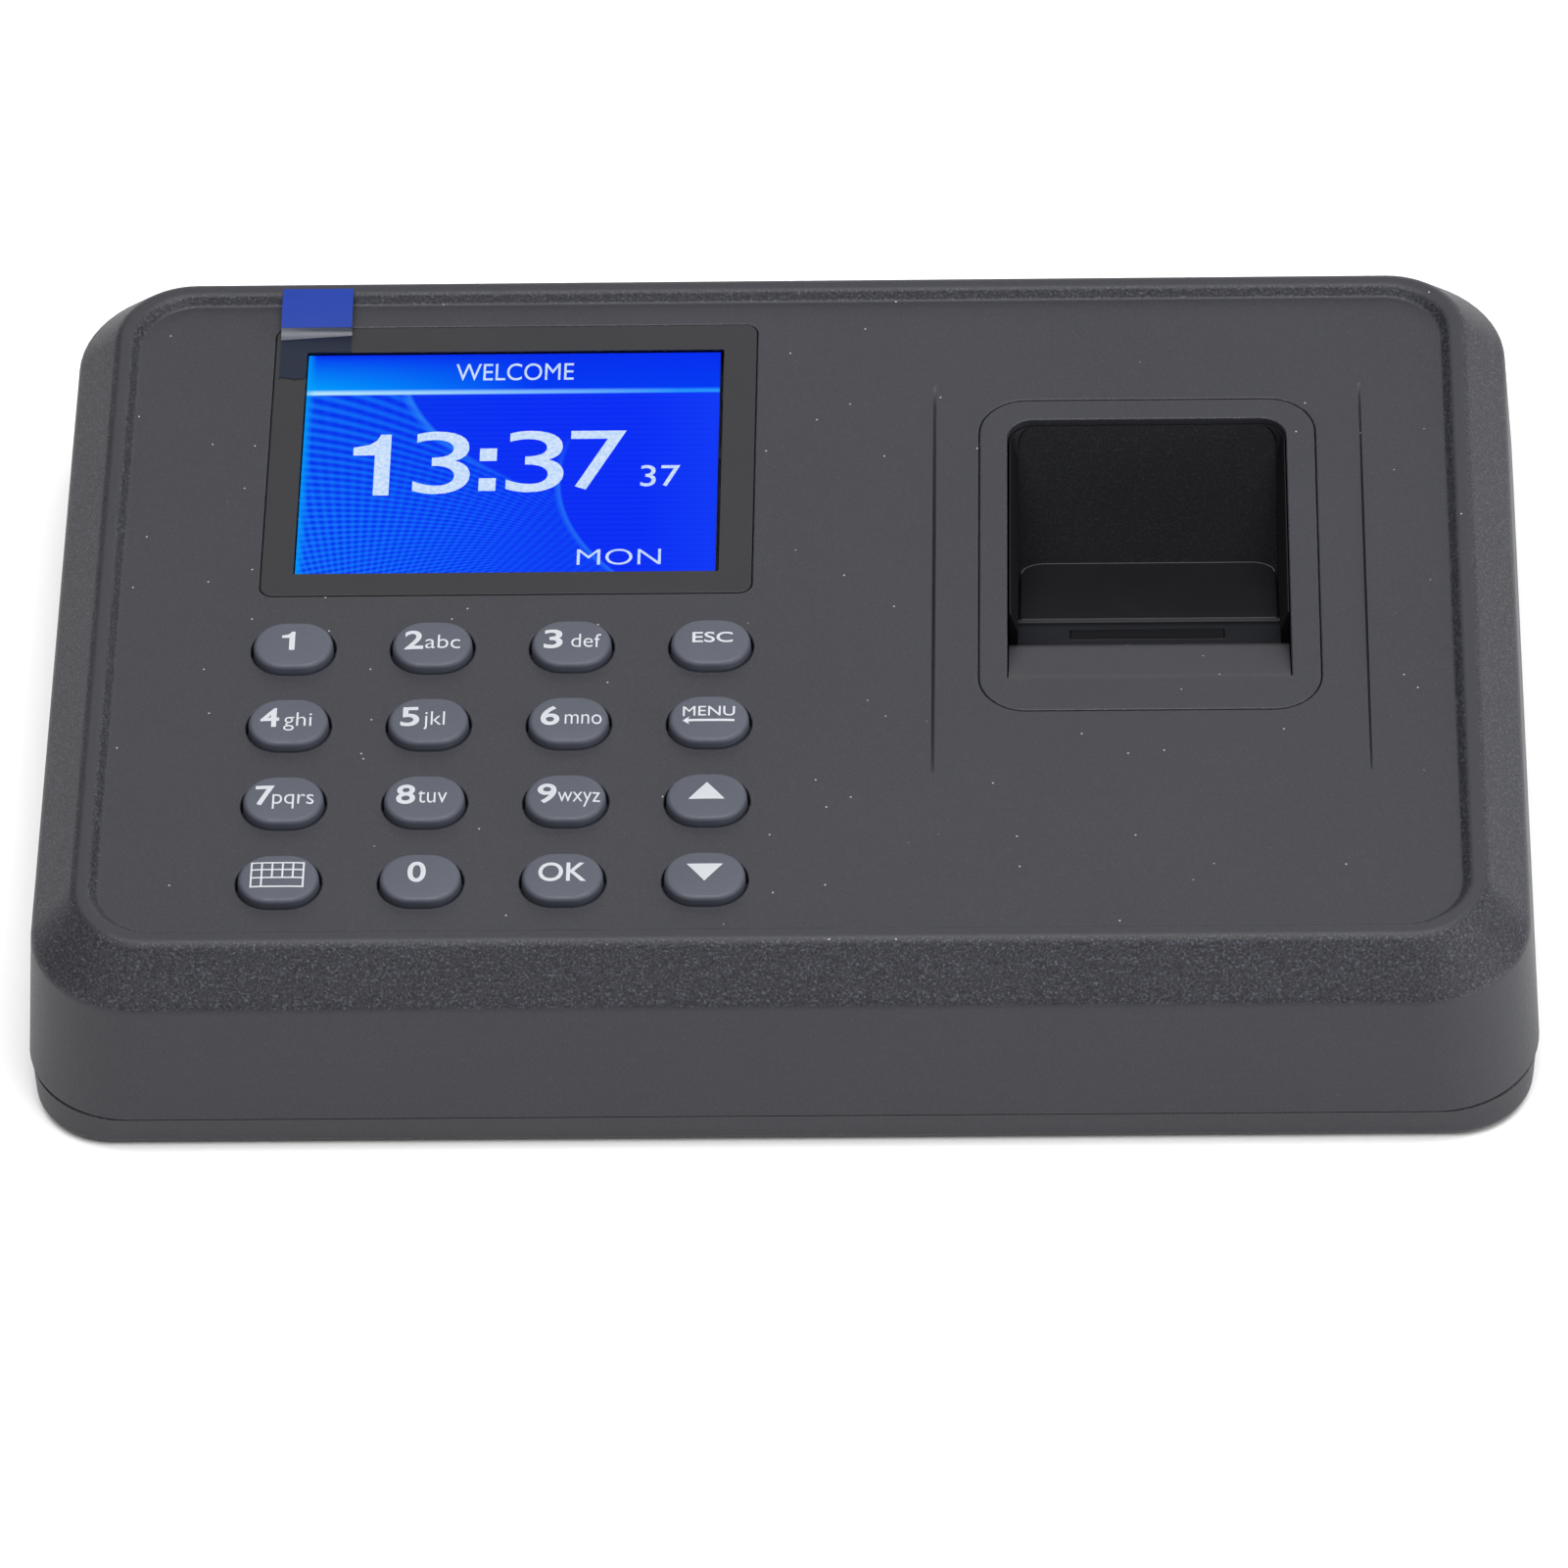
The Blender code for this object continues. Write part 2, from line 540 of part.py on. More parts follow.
def make_rear_cover():
    """The shallow rear tray with its tongue, screw pillars, foot pockets, grille and keyholes."""
    levels = (COVER_BASE_LEVEL, COVER_ROUND_LEVEL, COVER_TOP_LEVEL, TONGUE_FOOT_LEVEL, TONGUE_TOP_LEVEL,
              COVER_INNER_TOP_LEVEL, COVER_INNER_FLOOR_LEVEL)
    cover = add_part("rear_cover", casing_loft("rear_cover", levels), "rear_plastic")
    keyhole_xs = (-KEYHOLE_SPACING / 2, KEYHOLE_SPACING / 2)
    pocket_radius = KEYHOLE_POCKET_RADIUS + KEYHOLE_POCKET_WALL
    pocket_high = KEYHOLE_POCKET_TOP_Z + KEYHOLE_POCKET_WALL
    raised = [cylinder("pillar", PILLAR_RADIUS, 1.0, PILLAR_TOP_Z, at, 14) for at in CASING_SCREWS]
    raised += [prism("pocket", [keyhole_pocket_outline(x, pocket_radius)], 1.0, pocket_high) for x in keyhole_xs]
    combine(cover, "UNION", "pillars_and_pockets", raised)
    below = -1.0
    cuts = [cylinder("clearance", CLEARANCE_RADIUS, SCREW_SEAT_Z - 0.5, PILLAR_TOP_Z + 1.0, at, 10)
            for at in CASING_SCREWS]
    cuts += [prism("room", [keyhole_pocket_outline(x, KEYHOLE_POCKET_RADIUS)], COVER_FLOOR_Z, KEYHOLE_POCKET_TOP_Z)
             for x in keyhole_xs]
    combine(cover, "DIFFERENCE", "clearances_and_rooms", cuts)
    cuts = [cylinder("counterbore", COUNTERBORE_RADIUS, below, SCREW_SEAT_Z, at, 14) for at in CASING_SCREWS]
    cuts += [cylinder("foot_pocket", FOOT_POCKET_RADIUS, below, FOOT_POCKET_DEPTH, at, 18) for at in FEET]
    cuts += [cylinder("grille_hole", GRILLE_HOLE_RADIUS, below, 3.0, at, 8) for at in grille_places()]
    cuts += [prism("keyhole", [keyhole_outline(x)], below, 3.0) for x in keyhole_xs]
    combine(cover, "DIFFERENCE", "base_cuts", cuts)
    shade_round(cover)


def make_screw(name, at, seat, head, shank, steps=14):
    """A pan-head screw pointing up: head and shank are (radius, low z, high z)."""
    head_radius, head_low, head_high = head
    shank_radius, tip = shank
    profile = [(0.0, tip), (shank_radius * 0.55, tip), (shank_radius, tip - shank_radius), (shank_radius, seat),
               (head_radius, head_high), (head_radius, head_low + 0.5), (head_radius * 0.82, head_low),
               (0.0, head_low)]
    turned(name, profile, "screw_steel", (at[0], at[1], 0.0), steps)


def make_fasteners():
    """Casing, board and well screws, each with running room in its hole."""
    for number, at in enumerate(CASING_SCREWS, 1):
        head = (SCREW_HEAD_RADIUS, SCREW_HEAD_LOW_Z, SCREW_HEAD_HIGH_Z)
        make_screw(f"casing_screw_{number}", at, SCREW_HEAD_HIGH_Z, head, (SCREW_SHANK_RADIUS, SCREW_TIP_Z), 12)
    for number, at in enumerate(board_screw_places(), 1):
        high = BOARD_LOW_Z - GAP
        head = (SMALL_HEAD_RADIUS, high - SMALL_HEAD_HEIGHT, high)
        make_screw(f"board_screw_{number}", at, high, head, (SMALL_SHANK_RADIUS, CEILING_Z - 0.5), 8)
    for side, x in zip(("left", "right"), EAR_BOSS_X):
        high = EAR_Z[0] - GAP
        head = (SMALL_HEAD_RADIUS, high - SMALL_HEAD_HEIGHT, high)
        make_screw(f"well_screw_{side}", (x, EAR_Y), high, head, (SMALL_SHANK_RADIUS, CEILING_Z - 0.5), 8)


def make_feet():
    """Four round rubber feet set into the rear cover's pockets."""
    for number, at in enumerate(FEET, 1):
        profile = [(0.0, FOOT_TOP_Z), (FOOT_RADIUS, FOOT_TOP_Z), (FOOT_RADIUS, -FOOT_PROUD + 0.4),
                   (FOOT_RADIUS - 0.4, -FOOT_PROUD), (0.0, -FOOT_PROUD)]
        turned(f"rubber_foot_{number}", profile, "foot_rubber", (at[0], at[1], 0.0), 18)


def make_display():
    """The flush window, the film tab on it, the panel, its frame and its flex cable."""
    window = rounded_rectangle(*WINDOW_HALF, WINDOW_RADIUS, WINDOW_CENTRE, 4)
    add_part("display_window", prism("display_window", [window], WINDOW_LOW_Z, PANEL_Z), "window_acrylic")
    upper = [(y, z + TAB_THICKNESS) for y, z in reversed(TAB_PATH)]
    tab = prism("window_film_tab", [list(TAB_PATH) + upper], *TAB_X, along="X")
    add_part("window_film_tab", tab, "film_blue")
    panel = rounded_rectangle(*LCD_HALF, 0.4, LCD_CENTRE, 2)
    add_part("lcd_panel", prism("lcd_panel", [panel], LCD_LOW_Z, LCD_TOP_Z), "lcd_glass")
    frame = rounded_rectangle(*FRAME_HALF, 0.8, LCD_CENTRE, 2)
    add_part("lcd_backlight", prism("lcd_backlight", [frame], FRAME_LOW_Z, FRAME_TOP_Z), "socket_plastic")
    edge = LCD_CENTRE[0] - LCD_HALF[0] - GAP
    turn = edge - 2.0
    film = 0.25
    path = [(edge, LCD_LOW_Z + 0.6), (turn, LCD_LOW_Z + 0.6), (turn, BOARD_TOP_Z + GAP),
            (edge + 4.0, BOARD_TOP_Z + GAP), (edge + 4.0, BOARD_TOP_Z + GAP + film),
            (turn + film, BOARD_TOP_Z + GAP + film), (turn + film, LCD_LOW_Z + 0.6 - film),
            (edge, LCD_LOW_Z + 0.6 - film)]
    flex = prism("lcd_flex_cable", [path], -(LCD_CENTRE[1] + 8.0), -(LCD_CENTRE[1] - 8.0))
    flex.transform(Matrix.Rotation(math.radians(90.0), 4, "X"))
    add_part("lcd_flex_cable", flex, "flex_film")


def make_keypad():
    """Sixteen key caps that slide in the housing, over one silicone membrane with a dome for each."""
    fillet = 0.35
    edge_z = PANEL_Z + KEY_EDGE_RISE
    plunger = rounded_rectangle(*KEY_PLUNGER_HALF, 1.2, steps=KEY_STEPS)
    for name, at in key_places():
        sections = [(plunger, KEY_PLUNGER_Z - PANEL_Z), (plunger, KEY_FLANGE_LOW_Z - PANEL_Z),
                    (key_outline(KEY_FLANGE_MARGIN), KEY_FLANGE_LOW_Z - PANEL_Z),
                    (key_outline(KEY_FLANGE_MARGIN), KEY_FLANGE_TOP_Z - PANEL_Z),
                    (key_outline(KEY_DRAFT), KEY_FLANGE_TOP_Z - PANEL_Z),
                    (key_outline(0.0), edge_z - fillet - PANEL_Z),
                    (key_outline(-fillet), edge_z - PANEL_Z),
                    (key_outline(-fillet * 5), edge_z + KEY_CROWN - PANEL_Z)]
        key = add_part(f"key_{name}", loft(f"key_{name}", sections), "key_plastic", (at[0], at[1], PANEL_Z))
        shade_round(key)
    places = [at for _, at in key_places()]
    xs, ys = [x for x, _ in places], [y for _, y in places]
    outline = rounded_rectangle((max(xs) - min(xs)) / 2 + MEMBRANE_MARGIN[0],
                                (max(ys) - min(ys)) / 2 + MEMBRANE_MARGIN[1], 2.0,
                                ((max(xs) + min(xs)) / 2, (max(ys) + min(ys)) / 2), 3)
    membrane = add_part("keypad_membrane", prism("keypad_membrane", [outline], MEMBRANE_LOW_Z, MEMBRANE_TOP_Z),
                        "silicone")
    domes = [cylinder("dome", DOME_RADII[0], MEMBRANE_TOP_Z - 0.3, DOME_TOP_Z, at, 8, DOME_RADII[1])
             for at in places]
    combine(membrane, "UNION", "domes", domes)


def make_main_board():
    """The main circuit board with its chips, backup cell, USB socket and power jack on the underside."""
    outline = rounded_rectangle(*BOARD_HALF, 1.5, BOARD_CENTRE, 3)
    holes = [circle(SMALL_PILOT_RADIUS + 0.2, at, 12) for at in board_screw_places()]
    add_part("main_board", prism("main_board", [outline] + holes, BOARD_LOW_Z, BOARD_TOP_Z), "board_green")
    chips = (("processor_chip", (-30.0, 8.0), 7.0, 1.4), ("memory_chip", (-8.0, -8.0), 5.0, 1.0))
    for name, (x, y), half, height in chips:
        chip = box(name, (x - half, x + half), (y - half, y + half), (CHIP_TOP_Z - height, CHIP_TOP_Z))
        part = add_part(name, chip, "chip_black")
        bevel = part.modifiers.new("bevel", "BEVEL")
        bevel.width = 0.2 * MM
        bevel.segments = 1
    holder_low = CHIP_TOP_Z - CELL_HEIGHT - 1.4
    holder = add_part("coin_cell_holder", cylinder("coin_cell_holder", CELL_RADIUS + 1.4, holder_low, CHIP_TOP_Z,
                                                   CELL_CENTRE, 20), "chip_black")
    seat = cylinder("cell_seat", CELL_RADIUS + GAP, holder_low - 1.0, CHIP_TOP_Z - 1.0, CELL_CENTRE, 20)
    combine(holder, "DIFFERENCE", "cell_seat", [seat])
    shade_round(holder)
    cell_high = CHIP_TOP_Z - 1.0 - GAP
    low = cell_high - CELL_HEIGHT
    profile = [(0.0, cell_high), (CELL_RADIUS, cell_high), (CELL_RADIUS, low + 0.8), (CELL_RADIUS - 0.8, low + 0.4),
               (CELL_RADIUS - 1.2, low), (0.0, low)]
    turned("coin_cell", profile, "cell_steel", (*CELL_CENTRE, 0.0), 20)


def make_sockets():
    """The USB socket's shell and tongue, and the power jack's body and centre pin."""
    x_low, x_high = USB_X - USB_HALF[0], USB_X + USB_HALF[0]
    z_low, z_high = USB_Z - USB_HALF[1], USB_Z + USB_HALF[1]
    shell = add_part("usb_port", box("usb_port", (x_low, x_high), (USB_BACK_Y, USB_MOUTH_Y), (z_low, z_high)),
                     "connector_metal")
    hollow = box("usb_hollow", (x_low + USB_WALL, x_high - USB_WALL), (USB_BACK_Y + USB_WALL, USB_MOUTH_Y + 1.0),
                 (z_low + USB_WALL, z_high - USB_WALL))
    combine(shell, "DIFFERENCE", "usb_hollow", [hollow])
    tongue = box("usb_tongue", (USB_X - 5.6, USB_X + 5.6), (USB_BACK_Y + USB_WALL + FINE_GAP, USB_MOUTH_Y - 1.0),
                 (USB_Z + 0.3, USB_Z + 2.1))
    add_part("usb_tongue", tongue, "socket_plastic")
    body = box("dc_jack", (JACK_X - JACK_HALF[0], JACK_X + JACK_HALF[0]), (JACK_BACK_Y, JACK_FACE_Y),
               (JACK_Z - JACK_HALF[1], JACK_Z + JACK_HALF[1]))
    jack = add_part("dc_jack", body, "chip_black")
    bore = lying_cylinder("jack_bore", JACK_BORE_RADIUS, JACK_FACE_Y - JACK_BORE_DEPTH, JACK_FACE_Y + 1.0,
                          JACK_X, JACK_Z)
    combine(jack, "DIFFERENCE", "jack_bore", [bore])
    pin = lying_cylinder("dc_jack_pin", JACK_PIN_RADIUS, JACK_FACE_Y - JACK_BORE_DEPTH + GAP, JACK_FACE_Y - 0.6,
                         JACK_X, JACK_Z, 14)
    shade_round(add_part("dc_jack_pin", pin, "connector_metal"))


def make_scanner_bezel():
    """The flush grey insert round the finger well, with the ramp that leads the finger down into it."""
    raised = rounded_rectangle(*BEZEL_HALF, BEZEL_RADIUS, BEZEL_CENTRE)
    margin = BEZEL_FLANGE_MARGIN
    flange = rounded_rectangle(BEZEL_HALF[0] + margin, BEZEL_HALF[1] + margin, BEZEL_RADIUS + margin, BEZEL_CENTRE)
    sections = [(flange, BEZEL_LOW_Z), (flange, BEZEL_FLANGE_TOP_Z), (raised, BEZEL_FLANGE_TOP_Z),
                (raised, PANEL_Z + 0.5)]
    bezel = add_part("scanner_bezel", loft("scanner_bezel", sections), "graphite_plastic")
    combine(bezel, "DIFFERENCE", "bezel_scoop", [scoop_cutter("bezel_scoop")])
    mouth = prism("mouth", [mouth_outline()], BEZEL_LOW_Z - 1.0, RIM_Z + 1.0)
    combine(bezel, "DIFFERENCE", "mouth", [mouth])
    ramp_top = (MOUTH_Y[0], scoop_height(MOUTH_Y[0]))
    anchor_y = MOUTH_Y[0] - 1.0
    outline = [(anchor_y, BEZEL_LOW_Z + 0.2), (RAMP_END[0], RAMP_END[1] - RAMP_THICKNESS), RAMP_END, ramp_top,
               (anchor_y, ramp_top[1] - 0.3)]
    ramp = prism("ramp", [outline], MOUTH_X[0] + RAMP_SIDE_GAP, MOUTH_X[1] - RAMP_SIDE_GAP, along="X")
    combine(bezel, "UNION", "ramp", [ramp])
    shade_round(bezel)


def glass_point(along, depth):
    """A point (y, z) on the tilted sensor glass: a distance along its slope and a depth below its surface."""
    run, fall = GLASS_FAR[0] - GLASS_NEAR[0], GLASS_NEAR[1] - GLASS_FAR[1]
    length = math.hypot(run, fall)
    cos_tilt, sin_tilt = run / length, fall / length
    return (GLASS_NEAR[0] + along * cos_tilt - depth * sin_tilt, GLASS_NEAR[1] - along * sin_tilt - depth * cos_tilt)


def well_plan(name, inset):
    """The well seen from above as a tall block, round at its back corners; the inset moves its side and back walls."""
    front_y = TRENCH_FRONT_Y - 3.0
    back_y = WELL_BACK_Y - inset
    centre = (sum(WELL_X) / 2, (front_y + back_y) / 2)
    round_back = MOUTH_RADIUS - FINE_GAP - inset
    plan = rounded_rectangle((WELL_X[1] - WELL_X[0]) / 2 - inset, (back_y - front_y) / 2,
                             (round_back, round_back, 0.1, 0.1), centre, 5)
    return prism(name, [plan], WELL_LOW_Z - 1.0, RIM_Z + 2.0)


def make_scanner_well():
    """The black well: side walls, finger trench, sloping sensor platform and slanted back."""
    outer = [(TRENCH_FRONT_Y + 0.2, WELL_TOP_Z), (WELL_BACK_Y, WELL_TOP_Z), (WELL_BACK_Y, WELL_TOP_Z - 1.2),
             (BACK_FOOT[0] + 1.5, WELL_LOW_Z), (TRENCH_FRONT_Y - 1.4, WELL_LOW_Z), (TRENCH_FRONT_Y - 1.4, 18.6),
             (TRENCH_FRONT_Y + 0.2, 18.6)]
    well = add_part("scanner_well", prism("scanner_well", [outer], *WELL_X, along="X"), "black_plastic")
    support = GLASS_THICKNESS + GAP
    slope_length = math.dist(GLASS_NEAR, GLASS_FAR)
    above = WELL_TOP_Z + 1.0
    inner_back = WELL_BACK_Y - WELL_WALL
    back_slope = (inner_back - BACK_FOOT[0]) / (WELL_TOP_Z - BACK_FOOT[1])
    cavity = [(TRENCH_FRONT_Y, above), (inner_back + back_slope, above), BACK_FOOT,
              (glass_point(slope_length, support)[0], BACK_FOOT[1] + 0.05),
              (PLATFORM_FRONT_Y, glass_point(0.08, support)[1]), (PLATFORM_FRONT_Y, TRENCH_Z),
              (TRENCH_FRONT_Y, TRENCH_Z)]
    inside = (WELL_X[0] + WELL_WALL, WELL_X[1] - WELL_WALL)
    combine(well, "INTERSECT", "well_plan", [well_plan("well_plan", 0.0)])
    ears = [box("ear", (EAR_BOSS_X[0] - 2.8, WELL_X[0] + 0.5), (EAR_Y - EAR_HALF_Y, EAR_Y + EAR_HALF_Y), EAR_Z),
            box("ear", (WELL_X[1] - 0.5, EAR_BOSS_X[1] + 2.8), (EAR_Y - EAR_HALF_Y, EAR_Y + EAR_HALF_Y), EAR_Z)]
    combine(well, "UNION", "ears", ears)
    hollow = combine(well, "DIFFERENCE", "well_cavity", [prism("well_cavity", [cavity], *inside, along="X")])
    combine(hollow, "INTERSECT", "cavity_plan", [well_plan("cavity_plan", WELL_WALL)])
    centre_x = sum(WELL_X) / 2
    pocket = box("detect_pocket", (DETECT_X[0] - FINE_GAP, DETECT_X[1] + FINE_GAP),
                 (PLATFORM_FRONT_Y - 1.0, PLATFORM_FRONT_Y + 0.8), (DETECT_Z[0] - FINE_GAP, 19.5))
    aperture = box("aperture", (centre_x - APERTURE_HALF_X, centre_x + APERTURE_HALF_X), APERTURE_Y,
                   (WELL_LOW_Z - 1.0, 19.0))
    ear_holes = [cylinder("ear_hole", SMALL_PILOT_RADIUS + 0.2, EAR_Z[0] - 1.0, EAR_Z[1] + 1.0, (x, EAR_Y), 12)
                 for x in EAR_BOSS_X]
    combine(well, "DIFFERENCE", "well_cuts", [pocket, aperture] + ear_holes)


def make_sensor():
    """The sensor glass, the finger-detect window and the optical module under them."""
    slope_length = math.dist(GLASS_NEAR, GLASS_FAR)
    half_x = (WELL_X[1] - WELL_X[0]) / 2 - WELL_WALL - GLASS_SIDE_GAP
    centre_x = sum(WELL_X) / 2
    plate = rounded_rectangle(half_x, slope_length / 2, (GLASS_RADIUS, GLASS_RADIUS, 0.3, 0.3), steps=5)
    glass = add_part("sensor_window", prism("sensor_window", [plate], -GLASS_THICKNESS, 0.0), "sensor_glass",
                     (centre_x, *glass_point(slope_length / 2, 0.0)))
    glass.rotation_euler.x = -math.atan2(GLASS_NEAR[1] - GLASS_FAR[1], GLASS_FAR[0] - GLASS_NEAR[0])
    strip = box("finger_detect_window", DETECT_X, (PLATFORM_FRONT_Y + 0.05, PLATFORM_FRONT_Y + 0.55), DETECT_Z)
    add_part("finger_detect_window", strip, "detect_window")
    cover = GLASS_THICKNESS + GAP + 0.1
    near = glass_point(4.0, cover)
    far = glass_point(13.2, cover)
    wedge = [near, (near[0], WELL_LOW_Z + 0.6), (far[0], WELL_LOW_Z + 0.6), far]
    prism_x = (centre_x - APERTURE_HALF_X + 0.4, centre_x + APERTURE_HALF_X - 0.4)
    add_part("sensor_prism", prism("sensor_prism", [wedge], *prism_x, along="X"), "prism_glass")
    board = rounded_rectangle(*SENSOR_BOARD_HALF, 1.0, SENSOR_BOARD_CENTRE, 3)
    add_part("sensor_board", prism("sensor_board", [board], *SENSOR_BOARD_Z), "board_green")
    low = SENSOR_BOARD_Z[1] + GAP
    profile = [(0.0, 9.9), (2.2, 9.9), (2.8, 10.5), (3.6, 10.5), (3.6, 8.4), (4.8, 8.4), (4.8, low), (0.0, low)]
    turned("sensor_camera", profile, "chip_black", (*CAMERA_CENTRE, 0.0), 14)


def make_sensor_cable():
    """The flat flex cable from under the main board, down beside the well, to the sensor board."""
    film = 0.25
    start, turn_down, turn_in = (2.0, CHIP_TOP_Z), 13.0, SENSOR_BOARD_Z[1] - 0.4
    end_x = SENSOR_BOARD_CENTRE[0] - SENSOR_BOARD_HALF[0] - GAP
    bend = 2.0
    middle = [(start[0], start[1] - film / 2)]
    for step in range(5):
        angle = math.radians(90.0 - 22.5 * step)
        middle.append((turn_down + bend * math.cos(angle), start[1] - film / 2 - bend + bend * math.sin(angle)))
    for step in range(5):
        angle = math.radians(180.0 + 22.5 * step)
        middle.append((turn_down + 2 * bend + bend * math.cos(angle), turn_in + bend + bend * math.sin(angle)))
    middle.append((end_x, turn_in))
    mesh = bpy.data.meshes.new("sensor_flex_cable")
    front, back = 0.0, 9.0
    points = [(x * MM, y * MM, z * MM) for x, z in middle for y in (front, back)]
    strips = [(2 * i, 2 * i + 2, 2 * i + 3, 2 * i + 1) for i in range(len(middle) - 1)]
    mesh.from_pydata(points, [], strips)
    cable = add_part("sensor_flex_cable", mesh, "flex_film")
    solidify = cable.modifiers.new("thickness", "SOLIDIFY")
    solidify.thickness = film * MM
    solidify.offset = 0.0


def make_speaker():
    """The round speaker that lies cone down on the rear cover's grille."""
    x, y = SPEAKER_CENTRE
    low = COVER_FLOOR_Z + GAP
    profile = [(0.0, low + 5.6), (6.5, low + 5.6), (6.5, low + 3.2), (9.0, low + 3.0), (13.0, low + 1.6),
               (13.0, low), (11.6, low), (10.8, low + 0.9), (4.0, low + 1.7), (0.0, low + 1.2)]
    turned("speaker", profile, "speaker_cone", (x, y, 0.0), 18)


make_front_housing()
make_rear_cover()
make_fasteners()
make_feet()
make_display()
make_keypad()
make_main_board()
make_sockets()
make_scanner_bezel()
make_scanner_well()
make_sensor()
make_sensor_cable()
make_speaker()
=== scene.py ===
"""Looks of a fingerprint scanner terminal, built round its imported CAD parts. Lengths are in millimetres."""
import json
import math

import bmesh
import bpy
from mathutils import Matrix, Vector


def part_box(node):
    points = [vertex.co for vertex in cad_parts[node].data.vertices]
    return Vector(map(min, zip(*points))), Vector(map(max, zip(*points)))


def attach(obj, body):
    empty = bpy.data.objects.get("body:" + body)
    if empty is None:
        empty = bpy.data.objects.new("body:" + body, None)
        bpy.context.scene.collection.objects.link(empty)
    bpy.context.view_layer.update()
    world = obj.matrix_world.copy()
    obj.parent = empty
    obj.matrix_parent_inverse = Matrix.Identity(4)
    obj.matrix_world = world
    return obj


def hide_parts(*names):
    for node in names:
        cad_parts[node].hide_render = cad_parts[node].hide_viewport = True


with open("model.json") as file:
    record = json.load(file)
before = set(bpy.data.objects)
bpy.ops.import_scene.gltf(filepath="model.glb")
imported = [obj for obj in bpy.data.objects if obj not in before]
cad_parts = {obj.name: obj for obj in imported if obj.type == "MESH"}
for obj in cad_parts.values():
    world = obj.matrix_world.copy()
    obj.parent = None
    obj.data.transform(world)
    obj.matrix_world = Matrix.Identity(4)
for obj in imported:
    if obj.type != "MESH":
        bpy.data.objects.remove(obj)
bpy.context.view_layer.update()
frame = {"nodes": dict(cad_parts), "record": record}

MM = 0.001


class Place:
    """A CAD node's box in millimetres."""

    def __init__(self, node):
        low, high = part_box(node)
        self.low = low / MM
        self.high = high / MM
        self.centre = (self.low + self.high) / 2
        self.half = (self.high - self.low) / 2


HOUSING = Place("front_housing")
COVER = Place("rear_cover")
WINDOW = Place("display_window")
PANEL_GLASS = Place("lcd_panel")
BEZEL = Place("scanner_bezel")
WELL = Place("scanner_well")
FILM = Place("window_film_tab")
KEY_NODES = [name for name in frame["nodes"] if name.startswith("key_")]
BASE_Z = COVER.low.z
PANEL_Z = WINDOW.high.z
RIM_Z = HOUSING.high.z

# Front casing: (inset from the parting line, corner radius, height above the cover's base, rounding cut)
CASING_PROFILE = (
    (0.0, 12.2, 4.55, 0.0), (1.23, 13.0, 21.0, 0.35), (1.52, 12.9, 21.6, 0.35), (6.07, 9.2, 26.75, 0.3),
    (6.67, 8.7, 27.13, 0.3), (7.77, 7.7, 27.13, 0.2), (8.17, 7.5, 26.95, 0.2), (8.98, 7.0, 26.01, 0.25),
    (10.0, 6.0, 26.01, 0.0))
CASING_INSIDE = ((6.47, 8.8, 24.2), (3.17, 11.0, 20.2), (2.02, 10.2, 4.55))
CEILING_Z = BASE_Z + 24.2
LIP_CHAMFER = 0.12
CORNER_STEPS = 14
OPENING_FILLET = 0.18
CUT_MARGIN = 0.3
PORT_GAP = 0.3

# Rear cover: (inset from its widest outline, corner radius, height above its base, rounding cut)
COVER_PROFILE = ((0.85, 8.7, 0.0, 0.0), (0.35, 9.2, 0.5, 0.3), (0.0, 11.0, 4.3, 0.0))
COVER_INSIDE = ((2.1, 9.8, 4.3), (2.25, 9.6, 6.6), (3.75, 8.2, 6.6), (3.75, 8.2, 2.0))
COVER_FLOOR = 2.0
KEYHOLE_SPACING, KEYHOLE_Y = 130.0, 18.0
KEYHOLE_HEAD, KEYHOLE_SLOT, KEYHOLE_LENGTH = 4.2, 2.1, 9.0
POCKET_RADIUS, POCKET_WALL, POCKET_TOP = 4.6, 1.2, 6.5
GRILLE_PITCH, GRILLE_HOLE = 4.2, 0.95
PILLAR_RADIUS, PILLAR_TOP, PILLAR_HOLE = 4.2, 6.2, 1.75
SCREW_SINK, FOOT_SINK = (3.25, 2.4), (5.3, 1.1)
HOLE_TOP, HOLE_FLARE = 3.0, 0.2
SCREW_HEAD, SCREW_SHANK, SCREW_ROUND, SCREW_TIP = 1.75, 1.35, 0.6, 0.5
CROSS_ARM, CROSS_DEPTH, CROSS_TAPER = (1.55, 0.32), 1.2, 0.6

# Keys
KEY_HALF = (4.6, 3.68)
KEY_DRAFT = 0.12
KEY_FILLET = 0.55
KEY_CROWN, CROWN_STEPS = 0.15, 7
KEY_FLANGE = (0.9, 22.9, 23.9)
KEY_HOLE_GAP = 0.2
LEGEND_THICKNESS = 0.03
BOLD, MEDIUM, PLAIN = 0.014, 0.008, -0.008
FIGURE_ONE = ((1.0, 0.0), (1.0, 1.0), (0.72, 1.0), (0.62, 0.9), (0.42, 0.83), (0.0, 0.79), (0.0, 0.66),
              (0.58, 0.66), (0.58, 0.0))
DIGIT_HEIGHT, DIGIT_WIDTH = 2.95, 2.15
# Printed letters by key: (text, left edge, width, height)
KEY_LETTERS = {
    "2": ("abc", -0.78, 4.0, 2.15), "3": ("def", 0.0, 3.4, 2.15), "4": ("ghi", -0.5, 3.2, 2.15),
    "5": ("jkl", -0.5, 2.4, 2.15), "6": ("mno", -0.4, 4.2, 1.5), "7": ("pqrs", -1.2, 4.7, 1.5),
    "8": ("tuv", -0.7, 3.3, 1.9), "9": ("wxyz", -0.85, 4.8, 1.5)}
